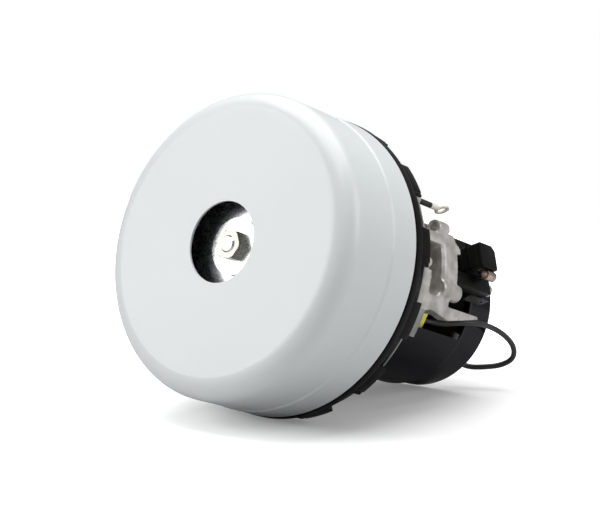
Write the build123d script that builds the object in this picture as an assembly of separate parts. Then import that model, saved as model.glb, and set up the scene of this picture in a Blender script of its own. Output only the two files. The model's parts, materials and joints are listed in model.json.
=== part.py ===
from build123d import *
import math
import os

# Two-stage bypass vacuum motor. Millimetres.
# The shaft lies along +Y, from the inlet face at zero to the rear of the motor cover. +Z is up.
# The origin is the centre of the inlet eye in the plane of the fan shroud's flat face.
# Angles round the shaft are in degrees, from +X towards +Z.

# Small allowances that fits share
overrun = 1.0
slip_gap = 0.02
seat_gap = 0.1
running_gap = 0.08
side_gap = 0.3

# Fan shroud
shroud_radius = 72.5
shroud_depth = 50.2
shroud_wall = 1.0
rim_round = 9.7
inlet_radius = 19.2
swage_start = 32.8
swage_run = 1.4
swage_step = 0.55
stake_angles = (68, 248)
stake_length = 4.0
stake_width = 2.2
stake_depth = 0.5

# Shaft stack, front to rear
shaft_radius = 4.0
shaft_start = 3.7
nut_start = 4.5
nut_width = 12.7
nut_thickness = 4.7
nut_chamfer = 0.6
thread_chamfer = 0.7
washer_radius = 13.5
washer_thickness = 1.7

# Impellers
tip_room = 10.5
impeller_sheet = 0.9
impeller_eye = 22.0
impeller_gap = 7.7
impeller_rise = 2.4
blade_count = 8
blade_sheet = 0.9
blade_start = 27.0
blade_bend = 46.0
blade_lean = 0.62
stage_pitch = 22.4
spacer_radius = 7.0

# Stationary plates between the stages
diffuser_start = 14.6
diffuser_sheet = 1.0
diffuser_room = 7.0
diffuser_bore = 8.5
vane_height = 6.4
vane_count = 11
vane_sheet = 1.0
vane_inner = 24.0
separator_sheet = 1.0
separator_skirt = 5.0
separator_collar = 1.0

# Discharge ring
lip_step = 0.25
lip_neck = 0.8
lip_width = 5.0
spigot_length = 7.0
ring_wall = 2.85
post_count = 13
post_first_angle = 14.0
post_angle = 13.0
post_depth = 8.5
post_length = 7.4
post_round = 1.5
nub_width = 2.2
nub_reach = 2.6
ring_floor_start = 37.0
ring_floor = 2.5
cone_run = 6.0
cone_wall = 2.2
ring_boss_radius = 3.8
seal_radius = 9.5

# End plate
plate_step = 3.2
end_plate_sheet = 1.0
end_plate_bore = 17.0
fold_from = -20.5
fold_to = -9.0
fold_height = 6.8
fold_relief = 1.6

# Bearings, both alike
bearing_radius = 11.0
bearing_width = 7.0
bearing_split = 6.5
bearing_relief = 8.0
front_bearing_start = 61.0
rear_bearing_start = 138.0

# Fan-end bracket
floor_step = 5.3
bracket_floor = 5.0
hub_wall = 4.0
hub_forward = 1.2
spigot_wall = 4.2
spigot_height = 2.8
skirt_step = 7.2
skirt_wall = 3.0
skirt_reach = 23.3
wing_from = -10.5
wing_to = 38.0
wing_step = 1.5
wing_wall = 5.5
block_low = -10.4
block_high = 8.9
block_side = -2.1
block_shoulder = 5.0
ledge_reach = 10.0
pocket_reach = 19.3
pocket_round = 4.5
foot_wall = 6.5
foot_waist = -8.9
foot_waist_reach = 15.3
foot_low = -11.6
foot_low_reach = 30.4
foot_top = -5.1
foot_top_reach = 52.3
foot_tip = -6.5
foot_tip_reach = 53.9
foot_slot_reach = 27.3
arm_low = 2.2
arm_high = 32.2
arm_start = 89.0
arm_width = 11.0
arm_round = 6.0
gusset_low = 21.0
gusset_high = 27.0
gusset_reach = 3.0
web_width = 4.0
web_from = -6.0
web_to = 31.0
strut_from = 21.5
strut_to = 27.0
cast_boss_radius = 2.4
cast_boss_step = 1.0
cast_boss_angle = 11.5
cast_boss_reach = 8.3
lug_radius = 3.9
lug_hole = 2.1
lug_step = 1.5
lug_angle = 30.0
lug_start = 85.0
lug_length = 8.5
post_bore = 1.7
post_bore_depth = 14.0
screw_post_radius = 4.4
screw_post_step = 2.5
screw_post_angle = 2.0
screw_post_start = 88.0
screw_post_end = 102.8
standoff_radius = 3.3
lightening_radius = 6.0
lightening_circle = 29.0
lightening_count = 8

# Screws
screw_radius = 1.9
screw_head_radius = 3.2
screw_head_height = 2.4
screw_recess = 1.1
ring_boss_step = 4.0
plate_screw_angles = (60, 120, 240, 300)
plate_screw_grip = 10.0

# Field
stator_room = 0.8
stator_start = 76.0
stator_length = 28.0
stator_flat_step = 3.2
stator_bore = 21.5
pole_tip = 3.2
yoke_wall = 5.8
pole_half_angle = 26.0
tip_half_angle = 68.0
stator_screw_step = 2.9
stator_screw_angles = (45, 135, 225, 315)
coil_gap = 0.6
coil_overhang = 6.8
coil_half_angle = 60.0
collar_sheet = 0.8
collar_skirt_from = -26.0
collar_skirt_to = -9.0
collar_skirt_reach = 10.6

# Armature
armature_radius = 21.0
armature_slots = 12
slot_depth = 8.0
slot_width = 3.4
slot_mouth = 1.4
winding_inner = 9.0
winding_outer = 19.0
winding_reach = 6.5
core_liner = 0.8

# Commutator
commutator_start = 115.0
commutator_length = 17.5
commutator_radius = 12.0
commutator_wall = 4.5
commutator_bars = 24
bar_slot = 0.5
bar_slot_depth = 1.2
riser_radius = 13.2
riser_length = 2.4

# Brush gear
brush_angle = 23.0
brush_start = 121.2
brush_length_y = 10.0
brush_width = 6.0
brush_reach = 26.0
brush_chamfer = 1.2
brush_slide_gap = 0.1
tube_wall = 0.6
tube_inner_end = 15.0
box_end = 62.0
box_start_x = 18.0
box_low = 5.7
box_high = 7.3
box_side_wall = 1.1
box_round = 1.4
cap_thickness = 2.0
spring_radius = 2.6
spring_wire = 0.6
terminal_sheet = 0.8
terminal_start_x = 50.0
terminal_curl_x = 61.0
terminal_curl_radius = 2.5
tab_width = 6.3
tab_inset = 5.0
tab_sheet = 0.8
tab_reach = 6.0
tab_seat = 10.0
tab_hole = 0.9

# Commutator bracket
yoke_start = 133.4
yoke_thickness = 5.0
yoke_half_width = 10.0
yoke_leg_step = 2.5
yoke_upper_step = 0.5
yoke_leg_depth = 6.3
yoke_leg_inner_z = 7.0
yoke_leg_outer_z = 13.8
yoke_upper_inner_z = 7.6
yoke_pad_rim = 0.5
yoke_hub_wall = 4.5
yoke_rib = 3.0

# Motor cover
cover_radius = 41.8
cover_wall = 1.8
cover_step = 144.0
band_step = 2.4
cover_end = 165.3
cover_round = 2.2
step_round = 1.0
window_from = -21.5
window_to = 50.0
window_round = 3.0
grille_inner = 13.0
grille_step = 6.4
grille_count = 18
grille_slot = 3.4
ear_radius = 5.0
ear_step = 4.7
ear_thickness = 2.6
ear_angles = (90, 270)

# Cooling fan
fan_start = 148.5
fan_room = 2.6
fan_sheet = 1.6
fan_hub = 9.0
fan_depth = 12.0
fan_blades = 11
fan_blade_inner = 16.0
fan_nut_width = 12.7
fan_nut_thickness = 3.6
shaft_end = 161.8

# Leads
lead_radius = 1.4
splice_radius = 2.2
splice_step = 4.7
splice_angle = -18.0
splice_length = 12.0
grommet_step = 8.4
grommet_angle = -50.0
grommet_sleeve = 1.1
grommet_flange = 3.8
grommet_stand = 1.6
clip_from = -21.2
clip_to = -17.0
clip_start = 134.0
clip_length = 4.0
clip_reach = 2.2
earth_radius = 1.4
earth_step = 0.2
earth_angle = 39.0
earth_boss_radius = 3.0
earth_boss_height = 3.0
sleeve_end = 83.0
ferrule_length = 6.0
ring_terminal_radius = 3.6
ring_terminal_hole = 2.1
ring_terminal_sheet = 0.9
ring_terminal_twist = -10.0

# Main lead's route, from the splice in the window to the grommet in the rear face
lead_route = [
    (32.81, 116.0, -10.66),
    (32.81, 121.5, -10.66),
    (38.0, 129.2, -9.9),
    (43.6, 136.9, -7.0),
    (45.6, 147.5, -5.2),
    (45.0, 160.5, -4.9),
    (46.0, 172.0, -7.0),
    (46.8, 180.2, -11.2),
    (44.6, 184.8, -16.8),
    (38.8, 183.2, -21.2),
    (31.6, 179.0, -23.7),
    (24.2, 176.2, -25.1),
    (19.93, 170.2, -23.75),
    (19.93, 163.9, -23.75),
]
lead_round_share = 0.45


# Lines that follow from the sizes above
nut_end = nut_start + nut_thickness
disc_start = nut_end + washer_thickness
impeller_start = disc_start - impeller_gap
diffuser_end = diffuser_start + diffuser_sheet
separator_start = diffuser_end + vane_height
second_disc_start = disc_start + stage_pitch
skirt_outer = shroud_radius + swage_step
skirt_inner = skirt_outer - shroud_wall
lip_radius = skirt_outer + lip_step
ring_inner = skirt_inner - ring_wall
post_radius = shroud_radius
post_inner = post_radius - post_depth
cone_small = post_inner - cone_run
plate_screw_circle = post_inner - ring_boss_step
impeller_radius = shroud_radius - tip_room
diffuser_radius = shroud_radius - diffuser_room
end_plate_radius = post_radius - plate_step
bracket_radius = end_plate_radius - floor_step
wing_radius = bracket_radius - wing_step
lug_circle = wing_radius - lug_step
screw_post_circle = wing_radius - screw_post_step
cast_boss_circle = wing_radius - cast_boss_step
earth_circle = bracket_radius + earth_step
spigot_seat = cover_radius + spigot_wall
skirt_radius = cover_radius + skirt_step
ear_circle = cover_radius + ear_step
stator_radius = cover_radius - cover_wall - stator_room
stator_flat = stator_radius - stator_flat_step
stator_screw_circle = stator_radius - stator_screw_step
splice_circle = stator_radius - splice_step
yoke_leg_outer = wing_radius - wing_wall - yoke_leg_step
yoke_upper_outer = skirt_radius + yoke_upper_step
band_radius = cover_radius - band_step
grille_outer = band_radius - grille_step
grommet_circle = band_radius - grommet_step
fan_radius = band_radius - cover_wall - fan_room
lip_start = shroud_depth + seat_gap
lip_end = lip_start + lip_neck + lip_width - lip_neck
post_end = lip_end + post_length
plate_end = post_end + end_plate_sheet
floor_end = plate_end + bracket_floor
stator_end = stator_start + stator_length
brush_end_y = brush_start + brush_length_y
brush_middle = brush_start + brush_length_y / 2
brush_inner = commutator_radius + side_gap
yoke_end = yoke_start + yoke_thickness
web_start = floor_end + skirt_reach - web_width
web_end = floor_end + skirt_reach
arm_end = arm_start + arm_width
ring_floor_end = ring_floor_start + ring_floor
grommet_end = cover_end + grommet_stand


def profile(*corners):
    """Closed face through (radius, y) corners. A third number rounds that corner."""
    points = [Vector(corner[0], corner[1]) for corner in corners]
    stops = []
    for index, corner in enumerate(corners):
        here = points[index]
        if len(corner) < 3:
            stops.append((here, None, here))
            continue
        back = (points[index - 1] - here).normalized()
        ahead = (points[(index + 1) % len(points)] - here).normalized()
        half = math.radians(back.get_angle(ahead)) / 2
        reach = corner[2] / math.tan(half)
        rise = corner[2] / math.sin(half) - corner[2]
        middle = here + (back + ahead).normalized() * rise
        stops.append((here + back * reach, middle, here + ahead * reach))
    edges = []
    for index, (start, middle, end) in enumerate(stops):
        if middle is not None:
            edges.append(ThreePointArc(start, middle, end))
        edges.append(Line(end, stops[(index + 1) % len(stops)][0]))
    return make_face(edges)


def turn(shape, degrees):
    """Turn a shape round the shaft, from +X towards +Z."""
    return Rot(0, -degrees, 0) * shape


def turned(*corners):
    """Full body of revolution round the shaft."""
    return revolve(profile(*corners), Axis.Y)


def tube(outer, inner, start, end):
    """Ring or disc between two places along the shaft."""
    return turned((inner, start), (outer, start), (outer, end), (inner, end))


def sector(outer, inner, start, end, first, last, rounding=None):
    """Part of a ring between two angles, its outer rear edge rounded if asked."""
    rear = (outer, end) if rounding is None else (outer, end, rounding)
    face = profile((inner, start), (outer, start), rear, (inner, end))
    return turn(revolve(face, Axis.Y, last - first), last)


def wall_piece(outer, inner, end, *corners):
    """Piece of a curved wall at +X, cut along X to an outline of (z, y) corners."""
    near = inner * math.cos(math.radians(wing_to))
    far = outer + overrun
    slab = extrude(profile(*corners), far - near, dir=(0, 0, 1))
    return Pos(far, 0, 0) * turn(slab, 90) & tube(outer, inner, floor_end - overrun, end)


def rod(radius, start, end, circle=0, degrees=0):
    """Cylinder along the shaft's direction, at a radius and angle round it."""
    bar = Cylinder(radius, end - start, align=(Align.CENTER, Align.CENTER, Align.MIN))
    return turn(Pos(circle, start, 0) * Rot(-90, 0, 0) * bar, degrees)


def brick(x_range, y_range, z_range):
    """Box between two corners."""
    size = [high - low for low, high in (x_range, y_range, z_range)]
    middle = [(high + low) / 2 for low, high in (x_range, y_range, z_range)]
    return Pos(*middle) * Box(*size)


def hexagon(width, start, end):
    """Six-sided bar along the shaft."""
    flat = RegularPolygon(width / 2, 6, major_radius=False)
    return Pos(0, start, 0) * Rot(-90, 0, 0) * extrude(flat, end - start)


def pair(shape):
    """A shape and its twin half a turn round the shaft."""
    return [shape, turn(shape, 180)]


def screw(start, end, circle, degrees):
    """Cross-recess pan screw whose head stands on the rear side."""
    shank = rod(screw_radius, start, end, circle, degrees)
    head = rod(screw_head_radius, end, end + screw_head_height, circle, degrees)
    head = fillet(head.edges().group_by(Axis.Y)[-1], screw_head_height / 3)
    reach = screw_head_radius * 1.1
    depth = (end + screw_head_height - screw_recess, end + screw_head_height + overrun)
    arm = brick((-reach / 2, reach / 2), depth, (-screw_recess / 2, screw_recess / 2))
    cross = Pos(circle, 0, 0) * (arm + turn(arm, 90))
    return shank + (head - turn(cross, degrees))


def fan_shroud():
    """Pressed drum with a pierced inlet eye, a round rim and a swaged skirt."""
    body = turned(
        (inlet_radius, shroud_wall),
        (inlet_radius, 0),
        (shroud_radius, 0, rim_round),
        (shroud_radius, swage_start),
        (skirt_outer, swage_start + swage_run),
        (skirt_outer, shroud_depth),
        (skirt_inner, shroud_depth),
        (skirt_inner, swage_start + swage_run),
        (shroud_radius - shroud_wall, swage_start),
        (shroud_radius - shroud_wall, shroud_wall, rim_round - shroud_wall),
    )
    low = shroud_radius - stake_depth
    for degrees in stake_angles:
        mark = brick(
            (low, shroud_radius + overrun),
            (swage_start - stake_length, swage_start),
            (-stake_width / 2, stake_width / 2),
        )
        body -= turn(mark, degrees)
    return body


def shaft():
    """Ground shaft with a threaded front end, chamfered at both ends."""
    return turned(
        (0, shaft_start),
        (shaft_radius - thread_chamfer, shaft_start),
        (shaft_radius, shaft_start + thread_chamfer),
        (shaft_radius, shaft_end - thread_chamfer),
        (shaft_radius - thread_chamfer, shaft_end),
        (0, shaft_end),
    )


def nut(width, start, end):
    """Hexagon nut with both ends turned to a chamfer."""
    corner = width / 2 / math.cos(math.radians(30))
    blank = turned(
        (shaft_radius + slip_gap, start),
        (corner - nut_chamfer, start),
        (corner, start + nut_chamfer / 2),
        (corner, end - nut_chamfer / 2),
        (corner - nut_chamfer, end),
        (shaft_radius + slip_gap, end),
    )
    return blank & hexagon(width, start - overrun, end + overrun)


def blade_face(inner, outer, bend, sheet, lean):
    """Plan of one curved blade, an arc band that leans back from inner to outer radius."""
    middle = (inner + outer) / 2
    centre = (middle * (1 - lean), bend * lean)
    start = math.degrees(math.atan2(-centre[1], inner - centre[0]))
    end = math.degrees(math.atan2(-centre[1] + outer * lean, outer * lean - centre[0]))
    low = bend - sheet / 2
    high = bend + sheet / 2
    inside = CenterArc(centre, low, start, end - start)
    outside = CenterArc(centre, high, start, end - start)
    edges = [inside, Line(inside @ 1, outside @ 1), outside, Line(outside @ 0, inside @ 0)]
    return make_face(edges)


def blade(inner, outer, bend, sheet, start, end, lean=blade_lean):
    """One curved blade standing along the shaft, cut to its two radii by its plan."""
    flat = blade_face(inner, outer, bend, sheet, lean)
    return Pos(0, start, 0) * Rot(-90, 0, 0) * extrude(flat, end - start)


def impeller(back_start):
    """Closed impeller: a dished front disc with an eye, curved blades and a flat back disc."""
    front = back_start - impeller_gap
    tip = front + impeller_rise
    half = impeller_sheet / 2
    front_disc = turned(
        (impeller_eye, front),
        (impeller_radius, tip),
        (impeller_radius, tip + impeller_sheet),
        (impeller_eye, front + impeller_sheet),
    )
    back_disc = tube(
        impeller_radius, shaft_radius + slip_gap, back_start, back_start + impeller_sheet
    )
    room = turned(
        (blade_start, front + half + (blade_start - impeller_eye) * impeller_rise
         / (impeller_radius - impeller_eye)),
        (impeller_radius - half, tip + half),
        (impeller_radius - half, back_start + half),
        (blade_start, back_start + half),
    )
    one = blade(blade_start, impeller_radius, blade_bend, blade_sheet, front, back_start + half)
    one = one & room
    wheel = front_disc + back_disc
    for index in range(blade_count):
        wheel += turn(one, index * 360 / blade_count)
    return wheel


def stage_diffuser():
    """Return plate with curved vanes that lead the air back to the shaft."""
    plate = tube(diffuser_radius, diffuser_bore, diffuser_start, diffuser_end)
    room = tube(diffuser_radius - vane_sheet, vane_inner, diffuser_end - vane_sheet / 2,
                separator_start)
    one = blade(vane_inner, diffuser_radius, blade_bend, vane_sheet,
                diffuser_end - vane_sheet / 2, separator_start) & room
    for index in range(vane_count):
        plate += turn(one, index * 360 / vane_count)
    return plate


def stage_separator():
    """Plate between the stages, with the second eye and a skirt pressed into the shroud."""
    rim = shroud_radius - shroud_wall - seat_gap
    end = separator_start + separator_sheet
    return turned(
        (inlet_radius, separator_start),
        (rim, separator_start),
        (rim, separator_start + separator_skirt),
        (rim - separator_sheet, separator_start + separator_skirt),
        (rim - separator_sheet, end),
        (inlet_radius + separator_sheet, end),
        (inlet_radius + separator_sheet, end + separator_collar),
        (inlet_radius, end + separator_collar),
    )


def discharge_ring():
    """Moulded ring: spigot in the shroud, lip, posts with nubs, floor and cone."""
    neck_end = lip_start + lip_neck
    neck = (skirt_outer + skirt_inner) / 2
    lip = turned(
        (ring_inner, lip_start - spigot_length),
        (skirt_inner - seat_gap, lip_start - spigot_length),
        (skirt_inner - seat_gap, lip_start),
        (neck, lip_start),
        (neck, neck_end),
        (lip_radius, neck_end),
        (lip_radius, lip_end),
        (ring_inner, lip_end),
    )
    floor = turned(
        (seal_radius, ring_floor_start),
        (cone_small, ring_floor_start),
        (post_inner + cone_wall, post_end),
        (post_inner, post_end),
        (cone_small - cone_wall, ring_floor_end),
        (seal_radius, ring_floor_end),
    )
    ring = lip + floor
    post = sector(post_radius, post_inner, lip_end - overrun, post_end,
                  -post_angle / 2, post_angle / 2, post_round)
    nub_low = post_radius * math.sin(math.radians(post_angle / 2))
    nub = brick(
        (ring_inner + nub_reach / 2, post_radius - nub_reach / 2),
        (lip_end - overrun, post_end),
        (-nub_low - nub_width / 2, -nub_low + nub_width),
    )
    for index in range(post_count):
        degrees = post_first_angle + index * 360 / post_count
        ring += turn(post + nub, degrees)
    for degrees in plate_screw_angles:
        boss = rod(ring_boss_radius, ring_floor_start + ring_floor / 2, post_end,
                   plate_screw_circle, degrees)
        ring += boss
        ring -= rod(screw_radius + slip_gap, post_end - plate_screw_grip, post_end + overrun,
                    plate_screw_circle, degrees)
    return ring


def shaft_seal():
    """Flexible lip ring in the floor's bore, running close round the spacer."""
    flange = seal_radius + shroud_wall
    return turned(
        (spacer_radius + running_gap, ring_floor_start),
        (seal_radius - slip_gap, ring_floor_start),
        (seal_radius - slip_gap, ring_floor_end),
        (flange, ring_floor_end),
        (flange, ring_floor_end + shroud_wall),
        (spacer_radius + running_gap, ring_floor_end + shroud_wall),
    )


def end_plate():
    """Flat steel disc with two rims folded back beside the wings."""
    plate = tube(end_plate_radius, end_plate_bore, post_end, plate_end)
    fold = sector(end_plate_radius, end_plate_radius - end_plate_sheet, post_end,
                  post_end + fold_height + end_plate_sheet, fold_from, fold_to)
    for rim in pair(fold):
        plate += rim
    for degrees in plate_screw_angles:
        plate -= rod(screw_radius + seat_gap, post_end - overrun, plate_end + overrun,
                     plate_screw_circle, degrees)
    return plate


def bearing_outer(start):
    """Outer ring of a shielded ball bearing."""
    return tube(bearing_radius, bearing_split, start, start + bearing_width)


def bearing_inner(start):
    """Inner ring of a shielded ball bearing."""
    return tube(bearing_split - running_gap, shaft_radius + slip_gap, start, start + bearing_width)


def foot_outline():
    """Outline of the base block and its foot as (z, y) corners."""
    return [
        (block_low, floor_end - overrun),
        (block_high, floor_end - overrun),
        (block_high, floor_end + ledge_reach),
        (block_side, floor_end + ledge_reach, pocket_round / 2),
        (block_side, floor_end + pocket_reach, pocket_round),
        (block_shoulder, floor_end + pocket_reach),
        (block_shoulder, floor_end + foot_slot_reach),
        (foot_top, floor_end + foot_slot_reach),
        (foot_top, floor_end + foot_top_reach),
        (foot_tip, floor_end + foot_tip_reach),
        (foot_low, floor_end + foot_low_reach),
        (foot_waist, floor_end + foot_waist_reach),
        (block_low, floor_end + ledge_reach),
    ]


def wing():
    """One side arm of the die-cast bracket, with its lug, screw post and foot."""
    inner = skirt_radius - overrun
    foot_inner = wing_radius - foot_wall
    body = sector(skirt_radius, skirt_radius - skirt_wall, floor_end - overrun, web_end,
                  wing_from, wing_to)
    body += sector(wing_radius - overrun, inner, web_start, web_end, web_from, web_to)
    body += wall_piece(wing_radius, foot_inner, floor_end + foot_tip_reach, *foot_outline())
    body += wall_piece(foot_inner + overrun, inner, web_end, *foot_outline())
    body += wall_piece(
        wing_radius, wing_radius - wing_wall, arm_end,
        (arm_low, arm_start),
        (arm_high, arm_start),
        (arm_high, arm_end, arm_round),
        (arm_low, arm_end),
    )
    body += wall_piece(
        wing_radius, wing_radius - wing_wall, arm_end + gusset_reach,
        (gusset_low, arm_end - overrun),
        (gusset_high, arm_end - overrun),
        (gusset_high - gusset_reach, arm_end + gusset_reach),
        (gusset_low, arm_end + gusset_reach),
    )
    body += sector(wing_radius, inner, floor_end - overrun, web_end, strut_from, strut_to)
    body += rod(cast_boss_radius, floor_end - overrun, floor_end + cast_boss_reach,
                cast_boss_circle, cast_boss_angle)
    body += rod(lug_radius, lug_start, lug_start + lug_length, lug_circle, lug_angle)
    body += rod(screw_post_radius, screw_post_start, screw_post_end,
                screw_post_circle, screw_post_angle)
    pad = brick(
        (yoke_upper_outer - yoke_leg_depth - yoke_pad_rim, yoke_upper_outer + yoke_pad_rim),
        (web_start, web_end),
        (yoke_upper_inner_z - yoke_pad_rim, yoke_leg_outer_z + yoke_pad_rim),
    )
    body += turn(pad, brush_angle)
    body -= rod(lug_hole, floor_end, arm_end + overrun, lug_circle, lug_angle)
    body -= rod(post_bore, screw_post_end - post_bore_depth, screw_post_end + overrun,
                screw_post_circle, screw_post_angle)
    return body


def fan_end_bracket():
    """Die-cast bracket: floor, bearing hub, cover seat, stator standoffs and two wings."""
    hub_radius = bearing_radius + hub_wall
    hub_start = front_bearing_start - hub_forward
    body = tube(bracket_radius, bearing_radius + slip_gap, plate_end, floor_end)
    body += tube(hub_radius, bearing_radius + slip_gap, hub_start,
                 front_bearing_start + bearing_width)
    body += tube(hub_radius, bearing_relief, hub_start, front_bearing_start)
    body += tube(spigot_seat, cover_radius + seat_gap, floor_end - overrun,
                 floor_end + spigot_height)
    for degrees in stator_screw_angles:
        body += rod(standoff_radius, floor_end - overrun, stator_start,
                    stator_screw_circle, degrees)
    for index in range(lightening_count):
        degrees = (index + 0.5) * 360 / lightening_count
        body -= rod(lightening_radius, plate_end - overrun, floor_end + overrun,
                    lightening_circle, degrees)
    for side in pair(wing()):
        body += side
    body += rod(earth_boss_radius, plate_end, floor_end + earth_boss_height,
                earth_circle, earth_angle)
    body -= rod(earth_radius + slip_gap, plate_end - overrun,
                floor_end + earth_boss_height + overrun, earth_circle, earth_angle)
    for degrees in stator_screw_angles:
        body -= rod(screw_radius + slip_gap, floor_end, stator_start + overrun,
                    stator_screw_circle, degrees)
    for degrees in plate_screw_angles:
        body -= rod(screw_radius + seat_gap, plate_end - overrun, floor_end + overrun,
                    plate_screw_circle, degrees)
    for degrees in ear_angles:
        body -= rod(screw_radius + slip_gap, plate_end - overrun, floor_end + spigot_height + overrun,
                    ear_circle, degrees)
    for side in yoke_screw_places():
        body -= yoke_screw_hole(side, web_start - overrun, web_end + overrun, slip_gap)
    return body


def stator_core():
    """Two-pole laminated field core, with four screw holes in its yoke."""
    body = tube(stator_radius, stator_bore, stator_start, stator_end)
    body &= brick(
        (-stator_radius - overrun, stator_radius + overrun),
        (stator_start - overrun, stator_end + overrun),
        (-stator_flat, stator_flat),
    )
    ends = (stator_start - overrun, stator_end + overrun)
    slot_inner = stator_bore + pole_tip
    reach = 90 - pole_half_angle
    for side in (0, 180):
        slot = sector(stator_radius - yoke_wall, slot_inner, *ends, -reach, reach)
        gap = sector(slot_inner + overrun, stator_bore - overrun, *ends,
                     -90 + tip_half_angle, 90 - tip_half_angle)
        body -= turn(slot + gap, side)
    for degrees in stator_screw_angles:
        body -= rod(screw_radius + seat_gap, *ends, stator_screw_circle, degrees)
    return body


def field_coil(middle):
    """Saddle coil round one pole, its ends bridging over the core's two faces."""
    inner = stator_bore + pole_tip + coil_gap
    outer = stator_radius - yoke_wall - coil_gap
    start = stator_start - coil_overhang
    end = stator_end + coil_overhang
    loop = sector(outer, inner, start, end, -coil_half_angle, coil_half_angle)
    opening = pole_half_angle + math.degrees(coil_gap / inner)
    hole = sector(outer + overrun, inner - overrun, stator_start - coil_gap,
                  stator_end + coil_gap, -opening, opening)
    return turn(loop - hole, middle)


def coil_insulation():
    """Yellow film collars on both core faces, the rear one with skirts in the windows."""
    outer = stator_radius - collar_sheet
    inner = stator_radius - yoke_wall + collar_sheet
    flats = brick(
        (-stator_radius, stator_radius),
        (stator_start - coil_overhang, stator_end + coil_overhang),
        (-stator_flat, stator_flat),
    )
    pieces = []
    for start in (stator_start - collar_sheet, stator_end):
        collar = tube(outer, inner, start, start + collar_sheet) & flats
        for degrees in stator_screw_angles:
            collar -= rod(screw_head_radius + seat_gap, start - overrun,
                          start + collar_sheet + overrun, stator_screw_circle, degrees)
        pieces.append(collar)
    skirt = sector(outer, outer - collar_sheet, stator_end, stator_end + collar_skirt_reach,
                   collar_skirt_from, collar_skirt_to)
    for side in pair(skirt):
        pieces[1] += side
    return gather(pieces)


def gather(pieces):
    """Group of separate solids in one node."""
    solids = []
    for piece in pieces:
        solids.extend(piece.solids())
    return Compound(solids)


def armature_core():
    """Laminated core with open slots for the winding."""
    body = tube(armature_radius, shaft_radius + slip_gap, stator_start, stator_end)
    for index in range(armature_slots):
        ends = (stator_start - overrun, stator_end + overrun)
        bottom = armature_radius - slot_depth
        pocket = brick((bottom, armature_radius - slot_mouth), ends,
                       (-slot_width / 2, slot_width / 2))
        mouth = brick((armature_radius - slot_mouth - overrun, armature_radius + overrun), ends,
                      (-slot_mouth / 2, slot_mouth / 2))
        body -= turn(pocket + mouth, index * 360 / armature_slots)
    return body


def armature_winding():
    """Wound copper: a bar in every slot, joined by a rounded ring of end turns at each face."""
    ends = ((stator_start - core_liner - winding_reach, stator_start - core_liner),
            (stator_end + core_liner, stator_end + core_liner + winding_reach))
    round_size = winding_reach / 3
    body = None
    for start, end in ends:
        ring = turned(
            (winding_inner, start, round_size),
            (winding_outer, start, round_size),
            (winding_outer, end),
            (winding_inner, end),
        )
        body = ring if body is None else body + ring
    bottom = armature_radius - slot_depth + core_liner / 2
    top = armature_radius - slot_mouth - core_liner
    half = slot_width / 2 - core_liner / 2
    for index in range(armature_slots):
        bar = brick((bottom, top), (ends[0][1] - overrun, ends[1][0] + overrun), (-half, half))
        body += turn(bar, index * 360 / armature_slots)
    return body


def commutator():
    """Copper bars with undercut slots and a riser at the winding side."""
    inner = commutator_radius - commutator_wall
    end = commutator_start + commutator_length
    body = turned(
        (inner, commutator_start),
        (riser_radius, commutator_start),
        (riser_radius, commutator_start + riser_length),
        (commutator_radius, commutator_start + riser_length),
        (commutator_radius, end),
        (inner, end),
    )
    cut = brick(
        (commutator_radius - bar_slot_depth, riser_radius + overrun),
        (commutator_start - overrun, end + overrun),
        (-bar_slot / 2, bar_slot / 2),
    )
    for index in range(commutator_bars):
        body -= turn(cut, index * 360 / commutator_bars)
    return body


def commutator_hub():
    """Moulded bush between the copper bars and the shaft."""
    return tube(commutator_radius - commutator_wall, shaft_radius + slip_gap,
                commutator_start, commutator_start + commutator_length)


def brush_box():
    """Black insulating box round the brass tube, open towards the shaft."""
    hole_y = brush_length_y / 2 + brush_slide_gap + tube_wall + slip_gap
    hole_z = brush_width / 2 + brush_slide_gap + tube_wall + slip_gap
    half_y = hole_y + box_side_wall
    outer = brick((box_start_x, box_end), (brush_middle - half_y, brush_middle + half_y),
                  (-box_low, box_high))
    outer = fillet(outer.edges().filter_by(Axis.X), box_round)
    hole = brick((box_start_x - overrun, box_end + overrun),
                 (brush_middle - hole_y, brush_middle + hole_y), (-hole_z, hole_z))
    return turn(outer - hole, brush_angle)


def brush_tube():
    """Square brass tube that guides the brush."""
    in_y = brush_length_y / 2 + brush_slide_gap
    in_z = brush_width / 2 + brush_slide_gap
    outer = brick((tube_inner_end, box_end),
                  (brush_middle - in_y - tube_wall, brush_middle + in_y + tube_wall),
                  (-in_z - tube_wall, in_z + tube_wall))
    hole = brick((tube_inner_end - overrun, box_end + overrun),
                 (brush_middle - in_y, brush_middle + in_y), (-in_z, in_z))
    return turn(outer - hole, brush_angle)


def brush_cap():
    """Black lid on the box's outer end, which the spring pushes against."""
    half_y = brush_length_y / 2 + brush_slide_gap + tube_wall + slip_gap + box_side_wall
    lid = brick((box_end, box_end + cap_thickness), (brush_middle - half_y, brush_middle + half_y),
                (-box_low, box_high))
    lid = fillet(lid.edges().filter_by(Axis.X), box_round)
    lid = chamfer(lid.faces().sort_by(Axis.X)[-1].edges(), cap_thickness / 3)
    return turn(lid, brush_angle)


def carbon_brush():
    """Carbon block whose inner end is curved to the commutator."""
    body = brick((commutator_radius - overrun, brush_inner + brush_reach),
                 (brush_start, brush_end_y), (-brush_width / 2, brush_width / 2))
    body = chamfer(body.faces().sort_by(Axis.X)[-1].edges(), brush_chamfer)
    body -= rod(brush_inner, brush_start - overrun, brush_end_y + overrun)
    return turn(body, brush_angle)


def brush_spring():
    """Tube that stands for the closed turns of the pressure spring."""
    length = box_end - brush_inner - brush_reach
    coil = Cylinder(spring_radius, length) - Cylinder(spring_radius - spring_wire, length)
    place = Pos((box_end + brush_inner + brush_reach) / 2, brush_middle, 0) * Rot(0, 90, 0)
    return turn(place * coil, brush_angle)


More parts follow.
